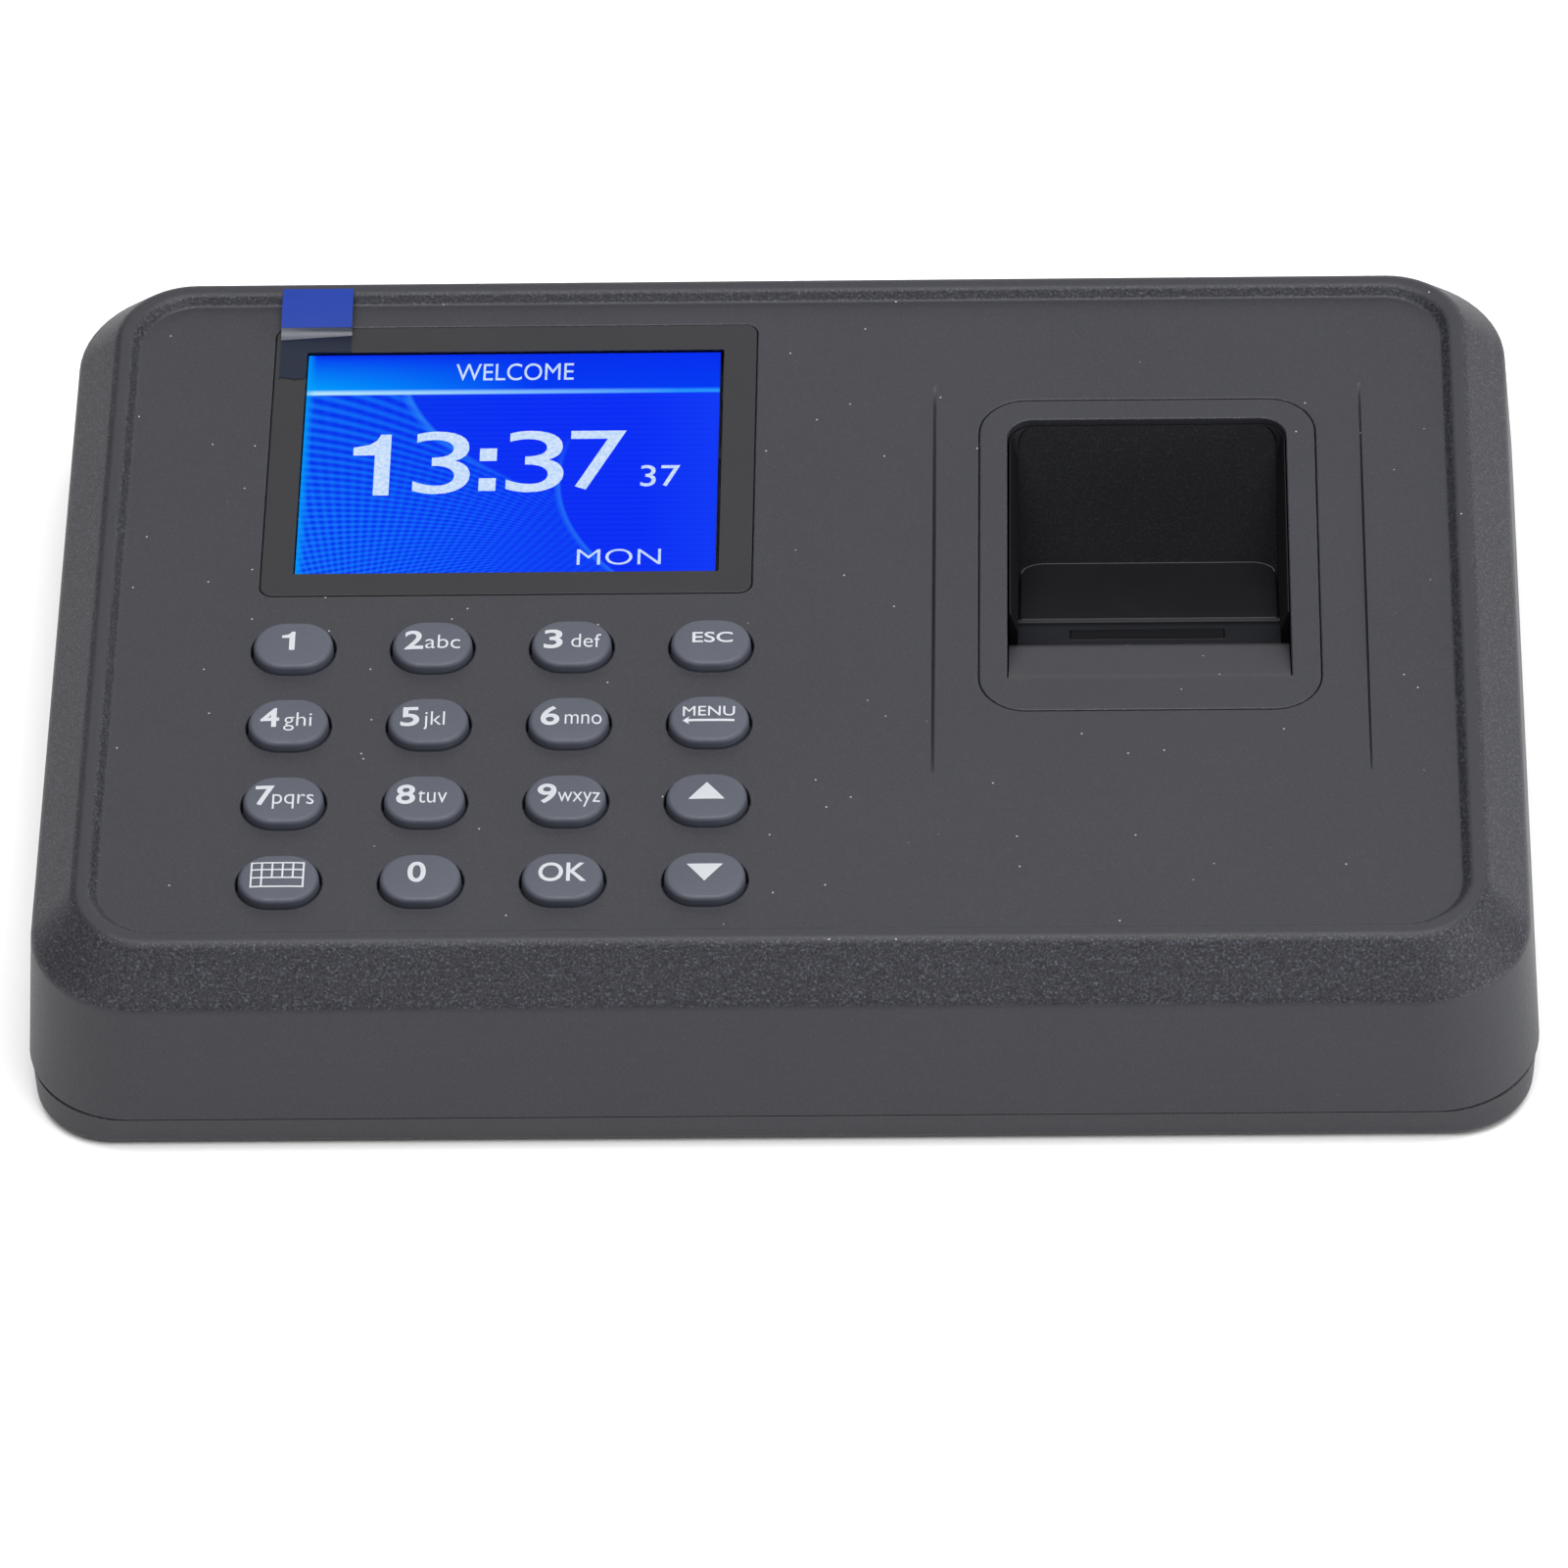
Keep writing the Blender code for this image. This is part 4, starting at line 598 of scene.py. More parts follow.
def screen_wallpaper():
    """The lit display: a blue picture with a light bar on top, a thin arc and two fans of fine lines."""
    finish = Finish("screen_wallpaper", (0.0, 0.0, 0.0), 0.6, Specular_IOR_Level=0.0)
    uv = finish.add("ShaderNodeTexCoord").outputs["UV"]
    split = finish.add("ShaderNodeSeparateXYZ", {0: uv})
    u, v = split.outputs[0], split.outputs[1]
    base = finish.mix(finish.ramp(u, 0.0, 0.55), (0.001, 0.04, 0.86), (0.003, 0.026, 0.93))
    base = finish.mix(finish.ramp(u, 0.8, 1.02, 0.0, 0.5), base, (0.008, 0.06, 0.98))

    def fan(at, count, bend):
        """Stripes that run towards a point, slightly bent."""
        across, up = finish.math("SUBTRACT", u, at[0]), finish.math("SUBTRACT", v, at[1])
        turned = finish.math("MULTIPLY_ADD", u, bend, finish.math("ARCTAN2", up, across))
        return finish.math("SINE", finish.times(turned, count))

    def distance(centre):
        aside = finish.math("POWER", finish.math("SUBTRACT", u, centre[0]), 2.0)
        above = finish.math("POWER", finish.math("SUBTRACT", v, centre[1]), 2.0)
        return finish.math("POWER", finish.math("ADD", aside, above), 0.5)

    def edge(radius, at, width):
        rise = finish.ramp(radius, at - width * 0.5, at)
        return finish.times(rise, finish.ramp(radius, at, at + width, 1.0, 0.0))
    upper, lower = distance((0.922, 0.981)), distance((1.325, 0.419))
    outside = finish.ramp(upper, 0.69, 0.698)
    fading = finish.times(finish.ramp(u, 0.02, 0.62, 1.0, 0.25), finish.ramp(lower, 0.7, 0.72))
    first = finish.ramp(fan((0.8, 0.07), 185.0, 0.35), -0.7, 1.0)
    second = finish.ramp(fan((0.15, -0.45), 170.0, -0.3), -0.7, 1.0)
    across = finish.times(second, finish.ramp(v, 0.55, 0.2, 0.15, 1.0))
    weave = finish.math("MULTIPLY_ADD", across, 0.4, finish.times(first, 0.6))
    glow = finish.times(finish.times(finish.times(weave, fading), outside), 1.25)
    picture = finish.mix(glow, base, (0.006, 0.19, 1.0))
    upper_arc = finish.times(edge(upper, 0.6955, 0.02), finish.ramp(u, 0.3, 0.5, 0.6, 0.0))
    lower_arc = finish.times(edge(lower, 0.7064, 0.014), finish.ramp(v, 0.62, 0.4, 0.0, 0.45))
    picture = finish.mix(finish.math("ADD", upper_arc, lower_arc), picture, (0.03, 0.3, 1.0))
    rows = finish.math("SINE", finish.times(v, 260.0))
    picture = finish.mix(finish.ramp(rows, -1.0, 1.0, 0.0, 0.1), picture, (0.02, 0.09, 1.0))
    head = finish.ramp(v, 0.823, 0.827)
    bar = finish.mix(finish.ramp(u, 0.0, 0.55), (0.0, 0.36, 1.0), (0.001, 0.045, 0.93))
    bar = finish.mix(finish.ramp(v, 0.83, 1.0), bar, (0.002, 0.028, 0.88))
    picture = finish.mix(head, picture, bar)
    line = finish.times(finish.ramp(v, 0.812, 0.819), finish.ramp(v, 0.826, 0.84, 1.0, 0.0))
    bright = finish.mix(finish.ramp(u, 0.0, 0.9), (0.5, 0.85, 1.0), (0.02, 0.3, 1.0))
    picture = finish.mix(line, picture, bright)
    rim = finish.ramp(u, 0.0, 0.02, 0.7, 0.0)
    picture = finish.mix(rim, picture, (0.0, 0.4, 1.0))
    finish.link(picture, "Emission Color")
    finish.set("Emission Strength", 1.0)
    matt_screen_surface(finish)
    return finish.material


def matt_screen_surface(finish):
    """The fine matt film over a display: a grain in its roughness and its height."""
    grain = finish.noise(0.12, 2.0)
    finish.link(finish.ramp(grain, 0.3, 0.7, 0.5, 0.7), "Roughness")
    finish.bump((grain, 0.001))


def screen_ink():
    """White pixels of the lit display, slightly uneven."""
    finish = Finish("screen_ink", (0.0, 0.0, 0.0), 0.6, Specular_IOR_Level=0.0)
    grain = finish.ramp(finish.noise(0.5, 3.0, 0.7), 0.35, 0.65)
    tone = finish.mix(grain, (0.45, 0.66, 0.98), (0.75, 0.85, 1.0))
    finish.link(tone, "Emission Color")
    finish.set("Emission Strength", 1.0)
    matt_screen_surface(finish)
    return finish.material


FRONT_PLASTIC = moulded_plastic("front_plastic", (0.0204, 0.0209, 0.0268), 0.5, 0.26, 0.02, 0.5, 0.9)
# Painted light on the insert's ramp below the mouth's front edge, and painted shade on the ramp's lower nose,
# both within these limits across the mouth.
RAMP_LIGHT_SHADE_AREA = (("X", MOUTH_X[0] + 0.05, MOUTH_X[0] + 0.1), ("X", MOUTH_X[1] - 0.05, MOUTH_X[1] - 0.1),
             ("Y", 3.0, 2.0))
INSERT_PLASTIC = moulded_plastic(
    "insert_plastic", (0.0206, 0.0211, 0.0271), 0.5, 0.26, 0.02, 0.5, 0.9,
    light_and_shade_zones=(((0.035, 0.0353, 0.0413), RAMP_LIGHT_SHADE_AREA + (("Y", MOUTH_Y[0] - 0.5, MOUTH_Y[0] + 0.7),)),
           ((0.006, 0.006, 0.0075), RAMP_LIGHT_SHADE_AREA + (("Y", RAMP_END[0] - 2.0, RAMP_END[0] - 0.3),))))
REAR_PLASTIC = moulded_plastic("rear_plastic", (0.0212, 0.0212, 0.027), 0.5, 0.26, 0.018, 0.4)
KEY_PLASTIC = smooth_plastic("key_plastic", (0.0516, 0.0572, 0.0765), 0.54, wear=1.05)
# Painted light: the black well's platform front and the trench below the sensor glass are lightened.
TRENCH_PAINTED_LIGHT_AREA = (("Y", 4.2, 3.3), ("Z", BASE_Z + 19.9, BASE_Z + 18.9))
BLACK_PLASTIC = moulded_plastic("black_plastic", (0.0033, 0.0035, 0.0048), 0.58, 0.2, 0.005,
                                light_and_shade_zones=(((0.062, 0.064, 0.075), TRENCH_PAINTED_LIGHT_AREA),), gloss=0.18)
WINDOW_BORDER = smooth_plastic("window_border", (0.0145, 0.0148, 0.0175), 0.45, Specular_IOR_Level=0.34)
WINDOW_CLEAR = clear_solid("window_clear", (1.0, 1.0, 1.0), 0.0, 1.18)
LEGEND_INK = smooth_plastic("legend_ink", (0.42, 0.435, 0.46), 0.5)
SENSOR_GLASS = dark_glass("sensor_glass", (0.0072, 0.0072, 0.0088), 0.14)
# Pale colour of the painted highlight strip on the sensor glass's far edge.
GLASS_HIGHLIGHT_FINISH = smooth_plastic("glass_painted_highlight", (0.08, 0.08, 0.09), 0.55)
DETECT_WINDOW = smooth_plastic("detect_window", (0.034, 0.034, 0.039), 0.45)
LCD_GLASS = smooth_plastic("lcd_glass", (0.006, 0.006, 0.008), 0.2)
FILM_BLUE = smooth_plastic("film_blue", (0.005, 0.028, 0.23), 0.5, Specular_IOR_Level=0.2)
FILM_CLEAR = smooth_plastic("film_clear", (0.043, 0.049, 0.068), 0.35)
FILM_STUCK = smooth_plastic("film_stuck", (0.0045, 0.0085, 0.022), 0.42, Specular_IOR_Level=0.24)
SHARED = {
    "front_plastic": FRONT_PLASTIC, "rear_plastic": REAR_PLASTIC, "key_plastic": KEY_PLASTIC,
    "black_plastic": BLACK_PLASTIC, "window_acrylic": WINDOW_CLEAR, "film_blue": FILM_BLUE,
    "lcd_glass": LCD_GLASS, "sensor_glass": SENSOR_GLASS, "detect_window": DETECT_WINDOW,
    "prism_glass": clear_solid("prism_glass", (0.92, 0.97, 0.96), 0.0, 1.52),
    "silicone": rubber("silicone", (0.16, 0.17, 0.19), 0.6),
    "board_green": circuit_board("board_green", (0.012, 0.1, 0.035)),
    "chip_black": moulded_plastic("chip_black", (0.012, 0.012, 0.012), 0.5, grain=0.1, depth=0.004),
    "connector_metal": metal("connector_metal", (0.62, 0.62, 0.6), 0.22),
    "cell_steel": metal("cell_steel", (0.66, 0.66, 0.66), 0.2),
    "socket_plastic": smooth_plastic("socket_plastic", (0.7, 0.68, 0.62), 0.4),
    "flex_film": smooth_plastic("flex_film", (0.5, 0.26, 0.05), 0.3),
    "speaker_cone": rubber("speaker_cone", (0.02, 0.02, 0.022), 0.7),
    "screw_steel": metal("screw_steel", (0.1, 0.1, 0.105), 0.32),
    "foot_rubber": rubber("foot_rubber", (0.012, 0.012, 0.013), 0.75),
}


def lay_on(mesh, height_at, thickness, step=0.45):
    """Slices a flat thick shape into small cells and lays it on a surface, a little proud of it."""
    shape = bmesh.new()
    shape.from_mesh(mesh)
    for axis in (0, 1):
        low = min(v.co[axis] for v in shape.verts)
        high = max(v.co[axis] for v in shape.verts)
        normal = Vector((axis == 0, axis == 1, 0.0))
        for cut in range(math.floor(low / step) + 1, math.ceil(high / step)):
            everything = list(shape.verts) + list(shape.edges) + list(shape.faces)
            bmesh.ops.bisect_plane(shape, geom=everything, dist=1e-5, plane_co=normal * cut * step,
                                   plane_no=normal)
    for vertex in shape.verts:
        x, y, z = vertex.co
        vertex.co = Vector((x, y, height_at(x, y) + (thickness if z > 0 else -thickness))) * MM
    shape.to_mesh(mesh)
    shape.free()
    return mesh


def text_mesh(text, width, height, weight, at, height_at, thickness=LEGEND_THICKNESS):
    """Raised lettering on a surface, its middle and baseline at a place, its tallest letter a height."""
    curve = bpy.data.curves.new("text", "FONT")
    curve.body = text
    curve.offset = weight
    curve.extrude = 0.5
    curve.resolution_u = 6
    holder = bpy.data.objects.new("text", curve)
    bpy.context.scene.collection.objects.link(holder)
    bpy.context.view_layer.update()
    mesh = bpy.data.meshes.new_from_object(holder.evaluated_get(bpy.context.evaluated_depsgraph_get()))
    bpy.data.objects.remove(holder)
    bpy.data.curves.remove(curve)
    low, high = min(v.co.x for v in mesh.vertices), max(v.co.x for v in mesh.vertices)
    top = max(v.co.y for v in mesh.vertices)
    for vertex in mesh.vertices:
        x = at[0] + ((vertex.co.x - low) / (high - low) - 0.5) * width
        vertex.co = Vector((x, at[1] + vertex.co.y / top * height, vertex.co.z))
    return lay_on(mesh, height_at, thickness)


def shape_mesh(points, height_at, thickness=LEGEND_THICKNESS):
    """A raised polygon laid on a surface."""
    shape = prism(points, -1.0, 1.0)
    shape.transform(Matrix.Scale(1.0 / MM, 4))
    return lay_on(shape, height_at, thickness)


def figure_one(x, y, width, height):
    """Outline of a figure 1 with a flag, in a box given by its low corner and size."""
    return [(x + width * u, y + height * v) for u, v in FIGURE_ONE]


def finish_carried_nodes():
    """Gives every CAD node its procedural finish and slightly rounded edges."""
    for row in frame["record"]["subparts"]:
        node = frame["nodes"][row["node"]]
        node.data.materials.clear()
        node.data.materials.append(SHARED[row["material_slot"]])
        weld = node.modifiers.new("weld", "WELD")
        weld.merge_threshold = 1e-6
        bevel = node.modifiers.new("edges", "BEVEL")
        bevel.width = 0.12 * MM
        bevel.segments = 2
        bevel.limit_method = "ANGLE"
        bevel.angle_limit = math.radians(40.0)
        bevel.harden_normals = True


# ---------------------------------------------------------------- casing

def casing_rings(levels, half, base):
    """Rings of a casing profile: (inset, corner radius, height above the cover's base)."""
    return [level(rounded_rectangle(half.x - inset, half.y - inset, radius), base + height)
            for inset, radius, height in levels]


def key_centres():
    """Centre of every key by node name."""
    return {name: Place(name).centre for name in KEY_NODES}


def make_front():
    """The front shell: drafted walls, chamfer, raised rim, recessed panel, scoop and rounded openings."""
    outside = rounded_levels(CASING_PROFILE)
    outside[0] = (LIP_CHAMFER, CASING_PROFILE[0][1], CASING_PROFILE[0][2])
    outside.insert(1, (0.0, CASING_PROFILE[0][1], CASING_PROFILE[0][2] + LIP_CHAMFER))
    mesh = loft(casing_rings(list(CASING_INSIDE) + outside, HOUSING.half, BASE_Z))
    places = [SCOOP_Y[0] + (SCOOP_Y[1] - SCOOP_Y[0]) * i / SCOOP_STEPS for i in range(SCOOP_STEPS + 1)]
    over = [(SCOOP_Y[1], RIM_Z + 1.0), (SCOOP_Y[0], RIM_Z + 1.0)]
    arc = [(y, scoop_height(y) + (0.0 if 0 < i < SCOOP_STEPS else 0.001)) for i, y in enumerate(places)]
    mesh = carve(mesh, "DIFFERENCE", prism(arc + over, *SCOOP_X, axis="X"))
    deep = [(y, scoop_height(y) - GROOVE_DEPTH * math.sin(math.pi * i / SCOOP_STEPS) ** 0.3 + 0.001)
            for i, y in enumerate(places)]
    left, right = SCOOP_X
    grooves = [prism(deep + over, left - 0.02, left + GROOVE_WIDTH[0], axis="X"),
               prism(deep + over, right - GROOVE_WIDTH[1], right + 0.02, axis="X")]
    mesh = carve(mesh, "DIFFERENCE", *grooves)

    def window_edge(margin):
        return rounded_rectangle(WINDOW.half.x + WINDOW_GAP + margin, WINDOW.half.y + WINDOW_GAP + margin,
                                 WINDOW_RADIUS + WINDOW_GAP + margin, WINDOW.centre.xy)

    def insert_edge(margin):
        grow = INSERT_GAP + margin - BEZEL_FLANGE_MARGIN
        radius = BEZEL_RADIUS + INSERT_GAP + margin
        return rounded_rectangle(BEZEL.half.x + grow, BEZEL.half.y + grow, radius, BEZEL.centre.xy,
                                 side_points=16)
    cutters = [opening(window_edge, WINDOW.low.z - 0.3, lambda y: PANEL_Z)]
    cutters.append(opening(insert_edge, CEILING_Z - 1.0, scoop_height))
    for centre in key_centres().values():
        def hole(margin):
            return stadium(*KEY_HALF, KEY_DRAFT + KEY_HOLE_GAP + margin, centre.xy)
        cutters.append(opening(hole, CEILING_Z - 1.0, lambda y: PANEL_Z))
    mesh = carve(mesh, "DIFFERENCE", *cutters)
    sight = rounded_rectangle(*VIEW_HALF, 1.0, VIEW_CENTRE, 4)
    mesh = carve(mesh, "DIFFERENCE", prism(sight, CEILING_Z - 1.0, WINDOW.low.z))
    usb, jack = Place("usb_port"), Place("dc_jack")
    ports = [block((p.low.x - PORT_GAP, p.high.x + PORT_GAP), (p.high.y - 4.0, HOUSING.high.y + 2.0),
                   (p.low.z - PORT_GAP, p.high.z + PORT_GAP)) for p in (usb, jack)]
    mesh = carve(mesh, "DIFFERENCE", *ports)
    made = piece("casing_front", mesh, FRONT_PLASTIC, replaces=["front_housing"])
    flatten_decks(made)
    weigh_normals(made)


def make_keys():
    """Key caps with rounded rims and a low crown."""
    for name, centre in key_centres().items():
        place = Place(name)
        edge_z = place.high.z - KEY_CROWN
        rings = [level(stadium(*KEY_HALF, KEY_FLANGE[0], centre.xy), BASE_Z + KEY_FLANGE[1]),
                 level(stadium(*KEY_HALF, KEY_FLANGE[0], centre.xy), BASE_Z + KEY_FLANGE[2]),
                 level(stadium(*KEY_HALF, KEY_DRAFT, centre.xy), BASE_Z + KEY_FLANGE[2])]
        for across, down in eased(KEY_FILLET, 6):
            rings.append(level(stadium(*KEY_HALF, -across, centre.xy), edge_z - down))
        for step in range(1, CROWN_STEPS + 1):
            inner = KEY_FILLET + (KEY_HALF[1] - KEY_FILLET - 0.03) * step / CROWN_STEPS
            height = edge_z + crown_rise(KEY_HALF[1] - inner)
            rings.append(level(stadium(*KEY_HALF, -inner, centre.xy), height))
        piece(f"cap_{name[4:]}", loft(rings), KEY_PLASTIC, body=name, replaces=[name],
              smooth=50.0)


def crown_rise(from_axis):
    """Height of a key's crown over its rim at a distance from the key's long axis."""
    reach = KEY_HALF[1] - KEY_FILLET
    return KEY_CROWN * (1 - min(1.0, from_axis / reach) ** 2)


def make_legends():
    """White printed legends, a hair proud of each key's crown."""
    for name, centre in key_centres().items():
        key = name[4:]
        edge_z = Place(name).high.z - KEY_CROWN

        def crown(x, y):
            off_axis = math.hypot(max(0.0, abs(x - centre.x) - (KEY_HALF[0] - KEY_HALF[1])), y - centre.y)
            return edge_z + crown_rise(off_axis)

        def print_text(text, x, baseline, width, height, weight):
            return text_mesh(text, width, height, weight, (centre.x + x, centre.y + baseline), crown)

        def print_shape(points):
            return shape_mesh([(centre.x + x, centre.y + y) for x, y in points], crown)

        def bar(x, y, width, height):
            """A printed rectangle about a point."""
            return print_shape(rectangle(x - width / 2, x + width / 2, y - height / 2, y + height / 2))

        if key in KEY_LETTERS:
            letters, left, width, height = KEY_LETTERS[key]
            marks = [print_text(key, DIGIT_MIDDLE, DIGIT_BASELINE, DIGIT_WIDTH, DIGIT_HEIGHT, BOLD),
                     print_text(letters, left + width / 2, LETTER_BASELINE, width, height, PLAIN)]
        elif key in KEY_WORDS:
            marks = [print_text(*KEY_WORDS[key])]
            if key == "menu":
                marks += [bar(*MENU_LINE), print_shape(MENU_TIP)]
        elif key == "1":
            marks = [print_shape(figure_one(*ONE_PLACE, ONE_WIDTH, DIGIT_HEIGHT))]
        elif key in ARROW_BASES:
            side = 1 if key == "up" else -1
            base = ARROW_BASES[key]
            half = ARROW_HALF * side
            marks = [print_shape([(-half, base), (half, base), (0.0, base + side * ARROW_HEIGHT)])]
        else:
            marks = make_keyboard_picture(bar)
        piece(f"legend_{key}", joined(marks), LEGEND_INK, body=name, smooth=0)


def make_keyboard_picture(bar):
    """A small keyboard drawn in lines: two rows of five keys over a row with one wide key."""
    left, right = PICTURE_X
    line, rows = PICTURE_LINE, PICTURE_ROWS
    marks = [bar((left + right) / 2, y, right - left + line, line) for y in rows]
    for column in range(PICTURE_COLUMNS + 1):
        x = left + (right - left) * column / PICTURE_COLUMNS
        split = 3 if column in (0, 1, PICTURE_COLUMNS) else 2
        for above, below in list(zip(rows, rows[1:]))[:split]:
            marks.append(bar(x, (above + below) / 2, line, above - below - line))
    return marks


# ---------------------------------------------------------------- display

def make_window():
    """The flush window: a printed border film on a clear pane whose sight area rises through it."""

    def window(margin):
        return rounded_rectangle(WINDOW.half.x + margin, WINDOW.half.y + margin, WINDOW_RADIUS + margin,
                                 WINDOW.centre.xy)

    def sight(margin):
        return rounded_rectangle(SIGHT_HALF[0] + margin, SIGHT_HALF[1] + margin, 0.25 + margin, SIGHT_CENTRE)
    rings = [level(window(margin), PANEL_Z - depth) for margin, depth in BORDER_EDGE]
    rings += [level(window(-0.5), PANEL_Z), level(sight(0.4), PANEL_Z)]
    rings += [level(sight(0.0), PANEL_Z), level(sight(0.0), PANEL_Z - MASK_DEPTH)]
    border = piece("window_border", loft(rings, closed=True), WINDOW_BORDER,
                   smooth=20.0)
    flatten_decks(border, 0.0)
    raised = sight(0.05)
    pane = loft([level(window(0.0), WINDOW.low.z), level(window(0.0), PANEL_Z - MASK_DEPTH - 0.01),
                 level(raised, PANEL_Z - MASK_DEPTH - 0.01), level(raised, PANEL_Z - 0.01)])
    piece("window_pane", pane, WINDOW_CLEAR, replaces=["display_window"])
    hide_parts("display_window")


def make_screen():
    """The lit picture on the display panel, with the time, seconds, greeting and weekday."""
    low_z, high_z = PANEL_GLASS.high.z, PANEL_GLASS.high.z + 0.02
    left, top = LIT_CENTRE[0] - LIT_HALF[0], LIT_CENTRE[1] + LIT_HALF[1]
    width, height = 2 * LIT_HALF[0], 2 * LIT_HALF[1]
    picture = block((left, left + width), (top - height, top), (low_z, high_z))
    layer = picture.uv_layers.new(name="screen")
    for loop in picture.loops:
        at = picture.vertices[loop.vertex_index].co / MM
        layer.data[loop.index].uv = ((at.x - left) / width, 1 - (top - at.y) / height)
    piece("screen_picture", picture, screen_wallpaper(), smooth=0)

    def surface(x, y):
        return high_z + 0.02
    x, y, wide, tall = SCREEN_ONE
    one = figure_one(left + x * width, top - y * height, wide * width, tall * height)
    marks = [shape_mesh(one, surface, 0.01)]
    for text, start, end, high, low, weight in SCREEN_TEXT:
        at = (left + (start + end) / 2 * width, top - low * height)
        size = ((end - start) * width, (low - high) * height)
        marks.append(text_mesh(text, *size, weight, at, surface, 0.01))
    across = [left + share * width for share in COLON_X]
    for y in COLON_Y:
        dot = rectangle(*across, top - (y + COLON_HEIGHT) * height, top - y * height)
        marks.append(shape_mesh(dot, surface, 0.01))
    piece("screen_text", joined(marks), screen_ink(), smooth=0)


def make_film():
    """The protective film's pull tab: a stuck part on the window, a clear bend and a raised blue grip."""
    low_x, high_x = FILM.low.x, FILM.high.x
    window_top = PANEL_Z + 0.03

    def strip(name, path, finish, slant=0.0):
        """A thin sheet through (y, z) points, its first edge slanted by some millimetres to the right."""
        upper, lower = [], []
        for row, (y, z) in enumerate(path):
            share = 1 - row / (len(path) - 1)
            for side, rise in ((lower, 0.0), (upper, FILM_THICKNESS)):
                line = []
                for column in range(FILM_STEPS + 1):
                    across = column / FILM_STEPS
                    line.append((low_x + (high_x - low_x) * across, y + share * slant * across, z + rise))
                side.append(line)
        rings = [low_line + list(reversed(high_line)) for low_line, high_line in zip(lower, upper)]
        return piece(name, loft(rings), finish, smooth=60.0)
    front, back = FILM.low.y, FILM.high.y - 0.6
    bend = [(y, window_top + height) for y, height in FILM_BEND]
    grip_z = FILM.high.z - FILM_THICKNESS
    grip = [(bend[-1][0] + 0.02, bend[-1][1] + 0.02), *((y, grip_z + rise) for y, rise in FILM_GRIP),
            (back, grip_z)]
    sight_left, sight_back = SIGHT_CENTRE[0] - SIGHT_HALF[0], SIGHT_CENTRE[1] + SIGHT_HALF[1]
    stuck = []
    for i in range(TEAR_STEPS + 1):
        tear = TEAR_DEPTH * math.sin(2.1 * i) * math.sin(1.3 * i + 1.0) + 0.2
        stuck.append((low_x + (sight_left - low_x) * i / TEAR_STEPS, front + tear))
    stuck += [(sight_left, sight_back), (high_x, sight_back), (high_x, STUCK_BACK[0]), (low_x, STUCK_BACK[1])]
    stuck = piece("film_stuck", prism(stuck, window_top - 0.02, window_top + 0.06), FILM_STUCK)
    strip("film_bend", bend, FILM_CLEAR, slant=0.7)
    strip("film_grip", grip, FILM_BLUE)
    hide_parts("window_film_tab")


# ---------------------------------------------------------------- scanner

def mouth_outline(margin=0.0):
    """The finger well's opening from above, round only at its back corners."""
    centre = (sum(MOUTH_X) / 2, sum(MOUTH_Y) / 2)
    half_x, half_y = (MOUTH_X[1] - MOUTH_X[0]) / 2 + margin, (MOUTH_Y[1] - MOUTH_Y[0]) / 2 + margin
    back, front = MOUTH_RADIUS + margin, MOUTH_FRONT_RADIUS + margin
    return rounded_rectangle(half_x, half_y, (back, back, front, front), centre, side_points=16)


def bezel_outline(margin=0.0):
    """The insert's raised body from above."""
    half_x, half_y = BEZEL.half.x - BEZEL_FLANGE_MARGIN, BEZEL.half.y - BEZEL_FLANGE_MARGIN
    return rounded_rectangle(half_x + margin, half_y + margin, BEZEL_RADIUS + margin, BEZEL.centre.xy,
                             side_points=16)


def bent(start, corner, end, steps=8):
    """A short curve from one (y, z) point to another that follows a corner."""
    return [between(start, corner, end, step / steps) for step in range(steps + 1)]


def make_bezel():
    """The grey insert: flange, top that follows the scoop, finger opening and ramp into the well."""
    low, flange_top = BASE_Z + BEZEL_LOW, BASE_Z + BEZEL_FLANGE_TOP
    flange = bezel_outline(BEZEL_FLANGE_MARGIN)
    rings = [level(flange, low), level(flange, flange_top), level(bezel_outline(), flange_top)]
    for across, down in eased(OPENING_FILLET):
        rings.append([(x, y, scoop_height(y) - down) for x, y in bezel_outline(-across)])
    for down, across in eased(OPENING_FILLET):
        rings.append([(x, y, scoop_height(y) - down) for x, y in mouth_outline(across)])
    rings.append(level(mouth_outline(), low))
    insert = loft(rings, closed=True)
    start = MOUTH_Y[0]
    top, end = scoop_height(start), (RAMP_END[0], BASE_Z + RAMP_END[1])
    slope = Vector((end[0] - start, end[1] - top)).normalized()
    after = (start + slope[0], top + slope[1])
    nose = (end[0] - RAMP_NOSE * slope[0], end[1] - RAMP_NOSE * slope[1])
    before = start - RAMP_ROOT + 0.1
    outline = [(start - RAMP_ROOT, low + 0.2), (end[0], end[1] - RAMP_THICKNESS)]
    outline += bent((end[0], end[1] - RAMP_FRONT), end, nose)
    outline += bent(after, (start, top), (before, scoop_height(before) - 0.002))
    outline.append((start - RAMP_ROOT, top - 0.3))
    ramp = prism(outline, MOUTH_X[0] + RAMP_SIDE_GAP, MOUTH_X[1] - RAMP_SIDE_GAP, axis="X")
    insert = carve(insert, "UNION", ramp)
    made = piece("scanner_insert", insert, INSERT_PLASTIC,
                 replaces=["scanner_bezel"])
    flatten_decks(made)
    weigh_normals(made)


def well_outline(inset, back):
    """The well from above, its sides moved in and its back at a place, round at the back corners."""
    front = TRENCH_FRONT - 3.0
    radius = MOUTH_RADIUS - 0.2 - inset
    centre = (WELL.centre.x, (front + back) / 2)
    half_x = (MOUTH_X[1] - MOUTH_X[0]) / 2 - 0.2 - inset
    return rounded_rectangle(half_x, (back - front) / 2, (radius, radius, 0.1, 0.1), centre)


